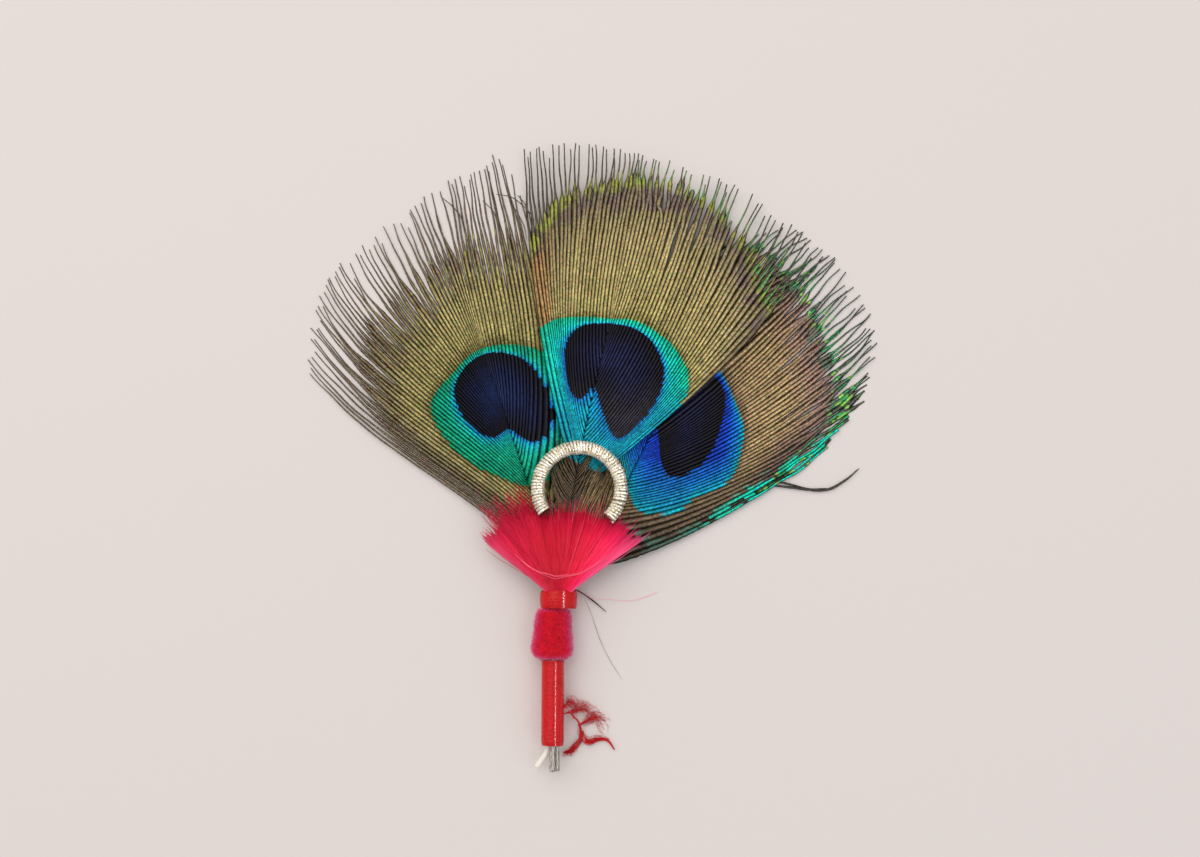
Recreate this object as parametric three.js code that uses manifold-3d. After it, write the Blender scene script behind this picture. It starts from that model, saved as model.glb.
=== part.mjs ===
// Three peacock eye feathers tied into a small fan, lying on their backs.
// Millimetres. +Y runs from the stem to the feather tips, +X to the right, +Z is up,
// and the origin is in the middle of the velvet knob's flat underside.
import * as THREE from 'three';
import { mergeVertices } from 'three/addons/utils/BufferGeometryUtils.js';
import Module from 'manifold-3d';

const wasm = await Module();
wasm.setup();

// Driving dimensions
const gap = 0.3; // left between pieces that press on each other
const shaftRadius = 0.5;
const shaftEndRadius = 0.2;
const bundleHeight = 2.9; // axis of the tied shafts above the surface
const bundleSpread = 0.76; // from that axis to each shaft's own
const stemEnd = -22.7; // cut ends of the quills
const tie = new THREE.Vector2(1, 5.5); // where the shafts leave the bindings
const vaneThickness = 0.5;
const tipThickness = 0.22;
const pleat = 0.08; // how far a lock's ridge stands over its valleys
const locksPerFeather = 40;
const vaneRows = 4;
const settleLength = 30; // a vane comes down to its own layer over this length
const ringRadius = 7.1;
const ringWireRadius = 1.15;
const stemBindingRadius = 1.9;
const bindingHoleRadius = 1.6;

const degrees = Math.PI / 180;
const up = new THREE.Vector3(0, 0, 1);
const smoothRise = (from, to, value) => THREE.MathUtils.smoothstep(value, from, to);
const mix = THREE.MathUtils.lerp;

// One guide barb of a fan: its root as a fraction of the vane's part of the shaft, the
// direction in which it leaves, its tip, and the direction in which the tip points.
const barb = (at, leave, tipX, tipY, arrive) => ({ at, leave, tipX, tipY, arrive });

// The guides run clockwise from the lowest barb on the left to the lowest on the right.
const feathers = {
  left: {
    side: new THREE.Vector2(-0.66, -0.38),
    quill: new THREE.Vector2(-2.7, -22.2),
    vaneShaft: [[-2.1, 18.2], [-7.4, 33.7], [-11.7, 46.5]],
    lies: 0.75,
    rim: 0.06,
    rimFrom: 38,
    rimTo: 60,
    guides: [
      barb(0.15, 136, -44, 45, 127), barb(0.42, 146, -43.7, 54.3, 104),
      barb(0.56, 147, -39, 65.2, 118), barb(0.7, 139, -30.5, 72.3, 115),
      barb(0.86, 124, -21.8, 80.7, 104), barb(1, 107, -13, 85, 96),
      barb(0.84, 88, -6.2, 80.7, 98), barb(0.62, 70, 1, 68.3, 93),
      barb(0.42, 62, 7, 54.3, 84), barb(0.15, 64, 10, 41.5, 78),
    ],
  },
  right: {
    side: new THREE.Vector2(0.66, -0.38),
    quill: new THREE.Vector2(0.72, stemEnd),
    vaneShaft: [[9.6, 19.9], [17.4, 35.4], [24.3, 49]],
    lies: 0.75,
    rim: 0.06,
    rimFrom: 38,
    rimTo: 62,
    guides: [
      barb(0.12, 78, 16, 57.5, 72), barb(0.38, 74, 25.6, 70.8, 66),
      barb(0.68, 72, 34.4, 74.7, 60), barb(1, 62, 45.3, 69.4, 56),
      barb(0.88, 41, 51.1, 64, 60), barb(0.78, 28, 54.8, 57.8, 64),
      barb(0.66, 16, 57.4, 51.1, 64), barb(0.52, 7, 56.5, 44.4, 60),
      barb(0.34, 9, 53.2, 37.4, 40), barb(0.16, 17, 47.5, 31, 28),
    ],
  },
  centre: {
    side: new THREE.Vector2(0, bundleSpread),
    quill: new THREE.Vector2(0, stemEnd),
    vaneShaft: [[2.8, 20.4], [5.5, 35.4], [9.7, 53.9]],
    lies: 2,
    rim: 1.5,
    rimFrom: 50,
    rimTo: 82,
    guides: [
      barb(0.2, 101, -6.5, 86.2, 92), barb(0.44, 107, -1, 86.6, 90),
      barb(0.62, 106, 4, 86.6, 90), barb(0.84, 95, 9.7, 86, 88),
      barb(1, 77, 16.5, 84.4, 83), barb(0.86, 62, 24, 82.4, 74),
      barb(0.7, 52, 33.6, 78, 64), barb(0.54, 45, 42.5, 72, 55),
      barb(0.36, 45, 46, 67.2, 52), barb(0.2, 45, 44.4, 62.5, 48),
    ],
  },
};

// ---- joining and cutting ----

function toManifold(geometry) {
  const bare = geometry.clone();
  bare.deleteAttribute('normal');
  bare.deleteAttribute('uv');
  const welded = mergeVertices(bare);
  return new wasm.Manifold(new wasm.Mesh({
    numProp: 3,
    vertProperties: new Float32Array(welded.attributes.position.array),
    triVerts: new Uint32Array(welded.index.array),
  }));
}

function toGeometry(solid) {
  const mesh = solid.getMesh();
  const geometry = new THREE.BufferGeometry();
  geometry.setAttribute('position', new THREE.BufferAttribute(mesh.vertProperties, 3));
  geometry.setIndex(new THREE.BufferAttribute(mesh.triVerts, 1));
  geometry.computeVertexNormals();
  return geometry;
}

function join(...geometries) {
  return toGeometry(geometries.map(toManifold).reduce((whole, next) => whole.add(next)));
}

function cut(geometry, cutter) {
  return toGeometry(toManifold(geometry).subtract(toManifold(cutter)));
}

// Moves every vertex of a geometry to the place that the function gives for it.
function reshape(geometry, place) {
  const positions = geometry.attributes.position;
  const vertex = new THREE.Vector3();
  for (let i = 0; i < positions.count; i += 1) {
    place(vertex.fromBufferAttribute(positions, i));
    positions.setXYZ(i, vertex.x, vertex.y, vertex.z);
  }
  return geometry;
}

// A round rod along a curve, with a radius that can change on the way.
function rod(curve, radiusAt, sides, steps) {
  return reshape(new THREE.CylinderGeometry(1, 1, 1, sides, steps), (vertex) => {
    const along = vertex.y + 0.5;
    const tangent = curve.getTangent(along);
    const across = tangent.clone().cross(up).normalize();
    const over = across.clone().cross(tangent);
    const radius = radiusAt(along);
    const { x, z } = vertex;
    vertex.copy(curve.getPoint(along));
    vertex.addScaledVector(across, x * radius).addScaledVector(over, z * radius);
  });
}

// 'catmullrom' gives every guide the same share of the curve; 'centripetal' never swings
// out between points that are unevenly spaced.
const curveThrough = (points, type = 'catmullrom') => new THREE.CatmullRomCurve3(
  points.map((point) => new THREE.Vector3(...point)), false, type,
);

// ---- the feathers ----

// Height of a feather's vane: it leaves the tie with its shaft, comes down to its own
// layer, and sinks a little more at the rim.
function vaneHeight(feather, x, y) {
  const reach = Math.hypot(x - tie.x, y - tie.y);
  const tied = bundleHeight + feather.side.y;
  const lying = mix(tied, feather.lies, smoothRise(0, settleLength, reach));
  const sink = (feather.lies - feather.rim) * smoothRise(feather.rimFrom, feather.rimTo, reach);
  return lying - sink;
}

// The whole shaft, from its cut quill through the bindings to the end of the vane.
const quillPoints = 5;
const tieSpread = 1.3; // the shafts begin to part inside the neck binding
function shaftCurve(feather) {
  const { side, quill, vaneShaft } = feather;
  const height = bundleHeight + side.y;
  return curveThrough([
    [quill.x, quill.y, height],
    [side.x, -18.9, height],
    [side.x, -12, height],
    [side.x, -4.3, height],
    [tie.x / 2 + side.x * 1.15, 0.6, height],
    [tie.x + side.x * tieSpread, tie.y, height],
    ...vaneShaft.map(([x, y]) => [x, y, vaneHeight(feather, x, y)]),
  ], 'centripetal');
}

const alongVane = (at, feather) => {
  const segments = quillPoints + feather.vaneShaft.length;
  return (quillPoints + feather.vaneShaft.length * Math.min(at, 1)) / segments;
};

// A cubic between two points with a direction at each end.
function sweep(start, leave, end, arrive, along) {
  const reach = start.distanceTo(end);
  const pull = (angle) => new THREE.Vector2(Math.cos(angle), Math.sin(angle));
  const a = along * along;
  const b = a * along;
  return new THREE.Vector2()
    .addScaledVector(start, 2 * b - 3 * a + 1)
    .addScaledVector(pull(leave * degrees), (b - 2 * a + along) * reach)
    .addScaledVector(end, 3 * a - 2 * b)
    .addScaledVector(pull(arrive * degrees), (b - a) * reach);
}

// A vane is one pleated sheet round the end of the shaft. Each lock is two columns wide,
// a ridge that runs out to a point and the valley beside it, which ends sooner.
function vane(feather) {
  const shaft = shaftCurve(feather);
  const { guides } = feather;
  const roots = curveThrough(guides.map((guide) => [guide.at, guide.leave, guide.arrive]));
  const tips = curveThrough(guides.map((guide) => [guide.tipX, guide.tipY, 0]));
  const top = guides.findIndex((guide) => guide.at === 1) / (guides.length - 1);
  const slit = 0.12; // half the slit between the two sides, which the shaft fills
  const slitTurn = 0.05;
  const joinedReach = 0.78; // the locks lie side by side up to here
  const valleyReach = 0.84;
  const columns = 2 * locksPerFeather;

  return reshape(new THREE.BoxGeometry(1, 1, 1, columns, vaneRows, 1), (vertex) => {
    const round = vertex.x + 0.5;
    const column = Math.round(round * columns);
    const isRidge = column % 2 === 1;
    const row = Math.round((vertex.y + 0.5) * vaneRows);
    const lockEnd = isRidge ? 1 : valleyReach;
    const along = row === vaneRows ? lockEnd : (joinedReach * row) / (vaneRows - 1);
    const guide = roots.getPoint(round);
    const place = alongVane(guide.x, feather);
    const root = shaft.getPoint(place);
    const tangent = shaft.getTangent(place);
    const offset = slit * THREE.MathUtils.clamp((round - top) / slitTurn, -1, 1);
    const start = new THREE.Vector2(root.x + tangent.y * offset, root.y - tangent.x * offset);
    const tip = tips.getPoint(round);
    const end = new THREE.Vector2(tip.x, tip.y);
    const spot = sweep(start, guide.y, end, guide.z, along);
    const half = mix(vaneThickness, tipThickness, along) / 2;
    const rise = isRidge ? pleat : -pleat;
    const sheet = mix(root.z, vaneHeight(feather, spot.x, spot.y), Math.min(1, along * 4));
    const height = sheet + Math.sign(vertex.z) * half + rise * Math.min(1, along * 4);
    vertex.set(spot.x, spot.y, Math.max(0, height));
  });
}

function feather(name, ...extras) {
  const shape = feathers[name];
  const curve = shaftCurve(shape);
  const segments = quillPoints + shape.vaneShaft.length;
  const radiusAt = (along) => {
    const vaneStart = quillPoints / segments;
    const taper = Math.max(0, (along - vaneStart) / (1 - vaneStart));
    return mix(shaftRadius, shaftEndRadius, taper);
  };
  return join(vane(shape), rod(curve, radiusAt, 5, 3 * segments), ...extras);
}

// A single barb that has come loose from the right feather's lower edge.
function strayBarb() {
  const curve = curveThrough([
    [34, 25.5, 0.5], [40.8, 24.9, 0.45], [46.8, 24.4, 0.4], [50.3, 26, 0.4], [53, 28.2, 0.4],
  ]);
  return rod(curve, (along) => mix(0.3, 0.15, along), 4, 8);
}

// ---- the ornament ----

// An open ring of stiff wire wound with metallic thread. It lies on the vanes and rides
// up over the floss at its right end.
function goldRing() {
  const centre = new THREE.Vector2(4.4, 24.3);
  const fromAngle = 212 * degrees;
  const toAngle = -45 * degrees;
  const lowest = 4.2;
  const rightLift = 1.65;
  const leftLift = 0.1;
  const turns = 24;
  const wound = 0.07; // how far each turn of thread stands out
  const notchAt = 0.92;
  class RingLine extends THREE.Curve {
    getPoint(along, target = new THREE.Vector3()) {
      const angle = mix(fromAngle, toAngle, along);
      const lift = along < 0.5 ? leftLift : rightLift;
      const rise = lift * (2 * along - 1) ** 2;
      return target.set(
        centre.x + ringRadius * Math.cos(angle),
        centre.y + ringRadius * Math.sin(angle),
        lowest + rise,
      );
    }
  }
  const radiusAt = (along) => {
    const step = Math.round(along * 2 * turns);
    const notch = Math.abs(along - notchAt) < 0.012 ? 0.16 : 0;
    return ringWireRadius - wound + 2 * wound * (step % 2) - notch;
  };
  return rod(new RingLine(), radiusAt, 8, 2 * turns);
}

// Silk floss caught in the neck binding and fanned out over the foot of the vanes.
function silkTuft() {
  const locks = 16;
  const rows = 5;
  const rootY = 6.5;
  const throatY = 7.5;
  const throatWidth = 0.85;
  const shoulder = new THREE.Vector2(3.5, 8.4);
  const tips = curveThrough([
    [-11.3, 15.2, 0], [-8.4, 19.3, 0], [-4.4, 20.2, 0], [-1.2, 19.3, 0], [2.6, 21.2, 0],
    [7.6, 20, 0], [12, 18.8, 0], [14.8, 14.9, 0],
  ]);
  const thickness = new THREE.CatmullRomCurve3([
    new THREE.Vector3(0.4, 0, 0), new THREE.Vector3(0.7, 0, 0), new THREE.Vector3(1.7, 0, 0),
    new THREE.Vector3(1.6, 0, 0), new THREE.Vector3(1.2, 0, 0), new THREE.Vector3(0.6, 0, 0),
  ]);
  return reshape(new THREE.BoxGeometry(1, 1, 1, 2 * locks, rows, 1), (vertex) => {
    const across = vertex.x * 2;
    const row = Math.round((vertex.y + 0.5) * rows);
    const column = Math.round((vertex.x + 0.5) * 2 * locks);
    const isRidge = column % 2 === 1;
    const layer = Math.sign(vertex.z);
    const spread = Math.max(0, row - 1) / (rows - 1);
    const reach = spread * (isRidge ? 1 : 0.93);
    const tip = tips.getPoint(vertex.x + 0.5);
    const a = (1 - reach) ** 2;
    const b = 2 * reach * (1 - reach);
    const c = reach ** 2;
    const x = a * (tie.x + throatWidth * across) + b * (tie.x + shoulder.x * across) + c * tip.x;
    const y = row === 0 ? rootY : a * throatY + b * shoulder.y + c * tip.y;
    const under = vaneHeight(feathers.centre, x, y) + shaftRadius + gap;
    const edge = 1 - 0.5 * Math.abs(across) ** 3 * Math.min(1, spread * 2);
    const ridge = isRidge && layer > 0 ? 0.12 * spread : 0;
    const depth = thickness.getPoint(row / rows).x * edge;
    vertex.set(x, y, under + (layer > 0 ? depth + ridge : 0));
  });
}

// A closed sleeve round the shafts, from a profile of radius and distance along the stem.
function sleeve(outline, sides) {
  const points = outline.map(([radius, along]) => new THREE.Vector2(radius, along));
  return new THREE.LatheGeometry([...points, points[0].clone()], sides);
}

function neckBinding() {
  const foot = 4.2;
  const head = 7.1;
  return sleeve([
    [bindingHoleRadius, foot], [2.1, foot], [2.25, foot + 0.4], [2.85, head - 0.4],
    [2.8, head], [2.55, head],
  ], 18).scale(1.13, 1, 1).translate(tie.x - 0.1, 0, bundleHeight);
}

function velvetKnob() {
  const foot = -4.3;
  const head = 3.9;
  const flattening = 0.9;
  const outline = [
    [0, foot], [2.2, foot], [3.2, foot + 0.6], [3.55, foot + 2], [3.4, foot + 4.4],
    [3.45, head - 1.2], [3, head - 0.4], [2.2, head], [0, head],
  ];
  const body = new THREE.LatheGeometry(outline.map((point) => new THREE.Vector2(...point)), 18);
  body.scale(1, 1, flattening).translate(0.05, 0, bundleHeight);
  const bundle = new THREE.LineCurve3(
    new THREE.Vector3(0, foot - 1, bundleHeight), new THREE.Vector3(0.92, head + 1, bundleHeight),
  );
  const bore = rod(bundle, () => bindingHoleRadius + 0.15, 12, 1);
  const surface = new THREE.BoxGeometry(20, 20, 2).translate(0, 0, -1);
  return cut(cut(body, bore), surface);
}

// Satin thread wound down the stem. Its frayed end comes out at the side and forks.
function stemBinding() {
  const foot = -18.4;
  const head = -4.6;
  const wound = sleeve([
    [bindingHoleRadius, foot], [stemBindingRadius - 0.1, foot],
    [stemBindingRadius, foot + 0.5], [stemBindingRadius, head], [bindingHoleRadius, head],
  ], 14).translate(0, 0, bundleHeight);
  const longEnd = curveThrough([
    [1.75, -11.8, 2.9], [3.2, -13.6, 2.3], [4.4, -15, 1.3], [4.9, -17, 0.6], [6.1, -18.2, 0.5],
    [7.6, -17.8, 0.5], [9.1, -17.9, 0.5], [10.3, -19.4, 0.5],
  ]);
  const shortEnd = curveThrough([
    [4.85, -16.6, 0.7], [4.3, -18.2, 0.6], [3.2, -19.6, 0.6], [1.9, -20, 0.6],
  ]);
  return join(
    wound,
    rod(longEnd, (along) => mix(0.5, 0.3, along), 6, 21),
    rod(shortEnd, (along) => mix(0.5, 0.4, along), 6, 8),
  );
}

// ---- assembly ----

const group = new THREE.Group();
group.name = 'tied_peacock_feathers';

function addPiece(name, geometry, color, roughness, metalness) {
  const material = new THREE.MeshStandardMaterial({ color, roughness, metalness });
  const mesh = new THREE.Mesh(geometry, material);
  mesh.name = name;
  group.add(mesh);
}

addPiece('left_feather', feather('left'), 0x7f7a3c, 0.5, 0.1);
addPiece('right_feather', feather('right', strayBarb()), 0x75633c, 0.5, 0.1);
addPiece('centre_feather', feather('centre'), 0x8c8038, 0.5, 0.1);
addPiece('gold_ring', goldRing(), 0xc9b785, 0.35, 0.8);
addPiece('silk_tuft', silkTuft(), 0xe0244f, 0.6, 0);
addPiece('neck_binding', neckBinding(), 0xc4161e, 0.35, 0);
addPiece('velvet_knob', velvetKnob(), 0xc81c3a, 0.95, 0);
addPiece('stem_binding', stemBinding(), 0xc4161e, 0.35, 0);

export default group;
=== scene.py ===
import math

import bmesh
import bpy
import numpy as np
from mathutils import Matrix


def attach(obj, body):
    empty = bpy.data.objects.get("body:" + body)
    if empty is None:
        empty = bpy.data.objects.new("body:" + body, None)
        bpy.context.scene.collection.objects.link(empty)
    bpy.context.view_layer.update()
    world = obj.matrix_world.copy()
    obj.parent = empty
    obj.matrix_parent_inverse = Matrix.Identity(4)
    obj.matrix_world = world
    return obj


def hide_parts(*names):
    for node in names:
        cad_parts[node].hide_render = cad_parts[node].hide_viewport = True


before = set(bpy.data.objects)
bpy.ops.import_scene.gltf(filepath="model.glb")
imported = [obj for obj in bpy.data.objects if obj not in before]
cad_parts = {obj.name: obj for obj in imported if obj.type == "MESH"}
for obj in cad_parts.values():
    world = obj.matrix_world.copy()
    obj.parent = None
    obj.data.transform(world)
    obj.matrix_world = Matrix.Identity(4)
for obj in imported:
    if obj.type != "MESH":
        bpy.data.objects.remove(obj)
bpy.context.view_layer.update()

mm = 0.001  # everything below is planned in millimetres
print("frame loaded")

bpy.context.scene.view_settings.view_transform = "Standard"

camera = {"at": (7.93, 5.35, 221.0), "tilt": 7.7, "lens": 38.28}
cameraData = bpy.data.cameras.new("camera")
cameraData.lens = camera["lens"]
cameraData.clip_start = 0.01
cameraObject = bpy.data.objects.new("camera", cameraData)
cameraObject.location = [v * mm for v in camera["at"]]
cameraObject.rotation_euler = (math.radians(camera["tilt"]), 0, 0)
bpy.context.collection.objects.link(cameraObject)
bpy.context.scene.camera = cameraObject


def linear(hexColour):
    parts = [int(hexColour[i:i + 2], 16) / 255 for i in (1, 3, 5)]
    return tuple(p / 12.92 if p <= 0.04045 else ((p + 0.055) / 1.055) ** 2.4 for p in parts) + (1.0,)


def addNode(tree, kind, settings=None, links=None, out=0):
    # settings: properties, input sockets or the stops of a ramp; links: input socket to what feeds it
    node = tree.nodes.new("ShaderNode" + kind)
    for key, value in (settings or {}).items():
        if key == "stops":
            elements = node.color_ramp.elements
            while len(elements) < len(value):
                elements.new(0.5)
            for element, (place, colour) in zip(elements, value):
                element.position = place
                element.color = linear(colour) if isinstance(colour, str) else (colour, colour, colour, 1)
        elif isinstance(key, int) or key in node.inputs:
            node.inputs[key].default_value = value
        else:
            setattr(node, key, value)
    for key, source in (links or {}).items():
        tree.links.new(source, node.inputs[key])
    return node.outputs[out] if node.outputs else node


def newMaterial(name):
    material = bpy.data.materials.new(name)
    material.use_nodes = True
    tree = material.node_tree
    tree.nodes.clear()
    return material, tree


lighting = {"world": "#f4f1ee", "worldStrength": 0.66, "key": 5.3, "fill": 0.9, "streak": 8.0}
world = bpy.data.worlds.new("studio")
world.use_nodes = True
background = world.node_tree.nodes["Background"]
background.inputs["Color"].default_value = linear(lighting["world"])
background.inputs["Strength"].default_value = lighting["worldStrength"]
bpy.context.scene.world = world


def areaLight(name, place, target, size, watts, colour):
    data = bpy.data.lights.new(name, "AREA")
    if isinstance(size, tuple):
        data.shape = "RECTANGLE"
        data.size_y, data.size = size
    else:
        data.size = size
    data.energy = watts
    data.color = linear(colour)[:3]
    lamp = bpy.data.objects.new(name, data)
    lamp.location = place
    direction = np.array(place) - np.array(target)
    lamp.rotation_euler = (
        math.acos(direction[2] / np.linalg.norm(direction)), 0,
        math.atan2(direction[1], direction[0]) + math.pi / 2,
    )
    bpy.context.collection.objects.link(lamp)
    return lamp


areaLight("keyLight", (-0.35, 0.45, 0.7), (0.01, 0.03, 0), 1.1, lighting["key"], "#fff8f0")
# a strip that only shows as the gloss on satin, silk and foil
streakLight = areaLight("streakLight", (0.4, 0.0, 0.68), (0, 0, 0), (0.08, 0.5), lighting["streak"], "#ffffff")
streakLight.visible_diffuse = False
areaLight("fillLight", (0.6, -0.3, 0.6), (0.01, 0.03, 0), 0.7, lighting["fill"], "#eef3ff")

floorMaterial, tree = newMaterial("matt paper floor")
floorBody = addNode(tree, "BsdfPrincipled", {"Base Color": linear("#dfd9d8"), "Roughness": 0.85})
addNode(tree, "OutputMaterial", links={"Surface": floorBody})
bm = bmesh.new()
bmesh.ops.create_grid(bm, x_segments=1, y_segments=1, size=1.5)
floorMesh = bpy.data.meshes.new("floor")
bm.to_mesh(floorMesh)
bm.free()
floorMesh.materials.append(floorMaterial)
floor = bpy.data.objects.new("floor", floorMesh)
bpy.context.collection.objects.link(floor)
print("camera, lights and floor set")


def pointsRound(points, places):
    # the four points round each place on a curve, which runs straight on past both its ends
    p = np.asarray(points, float)
    p = np.vstack([2 * p[0] - p[1], p, 2 * p[-1] - p[-2]])
    spot = np.clip(np.asarray(places, float), 0, 1) * (len(points) - 1)
    i = np.minimum(spot.astype(int), len(points) - 2)
    return p[i], p[i + 1], p[i + 2], p[i + 3], (spot - i)[..., None]


def curveThrough(points, places):
    # uniform Catmull-Rom, the same as the solids use
    a, b, c, d, t = pointsRound(points, places)
    return 0.5 * (2 * b + (c - a) * t + (2 * a - 5 * b + 4 * c - d) * t**2 + (3 * b - a - 3 * c + d) * t**3)


def slackCurve(points, places):
    # centripetal Catmull-Rom for unevenly spaced points
    a, b, c, d, t = pointsRound(points, places)
    gaps = [np.sqrt(np.linalg.norm(q - r, axis=-1))[..., None] for q, r in ((b, a), (c, b), (d, c))]
    m1 = ((b - a) / gaps[0] - (c - a) / (gaps[0] + gaps[1]) + (c - b) / gaps[1]) * gaps[1]
    m2 = ((c - b) / gaps[1] - (d - b) / (gaps[1] + gaps[2]) + (d - c) / gaps[2]) * gaps[1]
    return b + m1 * t + (-3 * b + 3 * c - 2 * m1 - m2) * t**2 + (2 * b - 2 * c + m1 + m2) * t**3


def rise(start, end, value):
    t = np.clip((value - start) / (end - start), 0, 1)
    return t * t * (3 - 2 * t)


def mix(a, b, t):
    return a + (b - a) * t


def outlineDistance(outline, spots):
    # distance to a smooth closed outline in mm, negative inside it
    closed = np.array(outline + outline[:3], float)
    n = len(outline)
    places = (1 + np.arange(n * 6) / 6) / (n + 2)
    ring = curveThrough(closed, places)
    a, b = ring, np.roll(ring, -1, axis=0)
    flat = spots.reshape(-1, 2)
    best = np.full(len(flat), 1e9)
    inside = np.zeros(len(flat), bool)
    for p, q in zip(a, b):
        edge = q - p
        t = np.clip(((flat - p) @ edge) / (edge @ edge), 0, 1)
        best = np.minimum(best, np.linalg.norm(flat - p - t[:, None] * edge, axis=1))
        crosses = (p[1] > flat[:, 1]) != (q[1] > flat[:, 1])
        with np.errstate(divide="ignore", invalid="ignore"):
            at = p[0] + (flat[:, 1] - p[1]) * edge[0] / edge[1]
        inside ^= crosses & (flat[:, 0] < at)
    return np.where(inside, -best, best).reshape(spots.shape[:-1])


def groupNoise(rng, count, step):
    # a smooth random curve over a row of barbs
    knots = rng.normal(0, 1, max(4, int(count / step) + 2))
    return curveThrough(knots[:, None], np.arange(count) / (count - 1))[:, 0]


def strandTemplate(sides, rings):
    # one closed unit rod, cut into rings along its length
    bm = bmesh.new()
    bmesh.ops.create_cone(bm, cap_ends=True, segments=sides, radius1=1, radius2=1, depth=1)
    long = [e for e in bm.edges if abs(e.verts[0].co.z - e.verts[1].co.z) > 0.5]
    bmesh.ops.subdivide_edges(bm, edges=long, cuts=rings - 2)
    bmesh.ops.recalc_face_normals(bm, faces=bm.faces)
    mesh = bpy.data.meshes.new("template")
    bm.to_mesh(mesh)
    bm.free()
    return mesh


def stamp(template, count):
    bm = bmesh.new()
    for _ in range(count):
        bm.from_mesh(template)
    mesh = bpy.data.meshes.new("stamped")
    bm.to_mesh(mesh)
    bm.free()
    return mesh


def readPoints(mesh):
    points = np.empty(len(mesh.vertices) * 3)
    mesh.vertices.foreach_get("co", points)
    return points.reshape(-1, 3)


def keepWhole(mesh, turn):
    # no polygon may lie over the seam of the map
    for polygon in mesh.polygons:
        span = slice(polygon.loop_start, polygon.loop_start + polygon.loop_total)
        if np.ptp(turn[span]) > 0.5:
            turn[span] = np.where(turn[span] < 0.5, turn[span] + 1, turn[span])


def makeStrands(paths, wide, high, sides, marks, lane, up=(0, 0, 1), rough=None):
    # paths: strands x rings x 3; wide and high: half sizes of the section, strands x rings
    # marks: name of an attribute to its value for each strand and ring
    # lane: lowest and highest v of the strands' strips in the baked map
    count, rings = paths.shape[:2]
    template = strandTemplate(sides, rings)
    unit = readPoints(template)
    ring = np.rint((unit[:, 2] + 0.5) * (rings - 1)).astype(int)
    mesh = stamp(template, count)
    tangent = np.gradient(paths, axis=1)
    tangent /= np.linalg.norm(tangent, axis=2, keepdims=True) + 1e-12
    across = np.cross(tangent, np.broadcast_to(np.asarray(up, float), tangent.shape))
    across /= np.linalg.norm(across, axis=2, keepdims=True) + 1e-12
    over = np.cross(across, tangent)
    x = unit[None, :, 0] * np.ones((count, 1))
    if rough is not None:
        x = x * rough(count, len(unit))
    place = (paths[:, ring] + across[:, ring] * (x * wide[:, ring])[..., None]
             + over[:, ring] * (unit[None, :, 1] * high[:, ring])[..., None])
    mesh.vertices.foreach_set("co", (place * mm).ravel())
    for name, values in marks.items():
        attribute = mesh.attributes.new(name, "FLOAT", "POINT")
        attribute.data.foreach_set("value", values[:, ring].astype(np.float32).ravel())
    if "across" not in marks:
        attribute = mesh.attributes.new("across", "FLOAT", "POINT")
        attribute.data.foreach_set("value", np.tile(unit[:, 0], count).astype(np.float32))
    # one strip of the map for each strand: u runs along it, v round it
    corners = np.empty(len(template.loops), int)
    template.loops.foreach_get("vertex_index", corners)
    turn = np.arctan2(unit[corners, 1], unit[corners, 0]) / (2 * math.pi) % 1
    keepWhole(template, turn)
    strip = (lane[1] - lane[0]) / count
    u = np.tile(ring[corners] / (rings - 1), count) * 0.996 + 0.002
    v = lane[0] + (np.arange(count)[:, None] + 0.06 + 0.88 * turn / 1.25) * strip
    layer = mesh.uv_layers.new(name="OFBake")
    layer.data.foreach_set("uv", np.column_stack([u, v.ravel()]).ravel())
    bpy.data.meshes.remove(template)
    return mesh


def joinMeshes(name, parts, materials):
    # parts: (mesh, material index); all are already in place
    bm = bmesh.new()
    for mesh, index in parts:
        mesh.polygons.foreach_set("material_index", [index] * len(mesh.polygons))
        bm.from_mesh(mesh)
        bpy.data.meshes.remove(mesh)
    whole = bpy.data.meshes.new(name)
    bm.to_mesh(whole)
    bm.free()
    for material in materials:
        whole.materials.append(material)
    whole.polygons.foreach_set("use_smooth", [True] * len(whole.polygons))
    piece = bpy.data.objects.new(name, whole)
    bpy.context.collection.objects.link(piece)
    print(name, "has", sum(len(p.vertices) - 2 for p in whole.polygons), "triangles")
    return piece


def settle(piece, node):
    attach(piece, "root")
    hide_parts(node)


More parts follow.
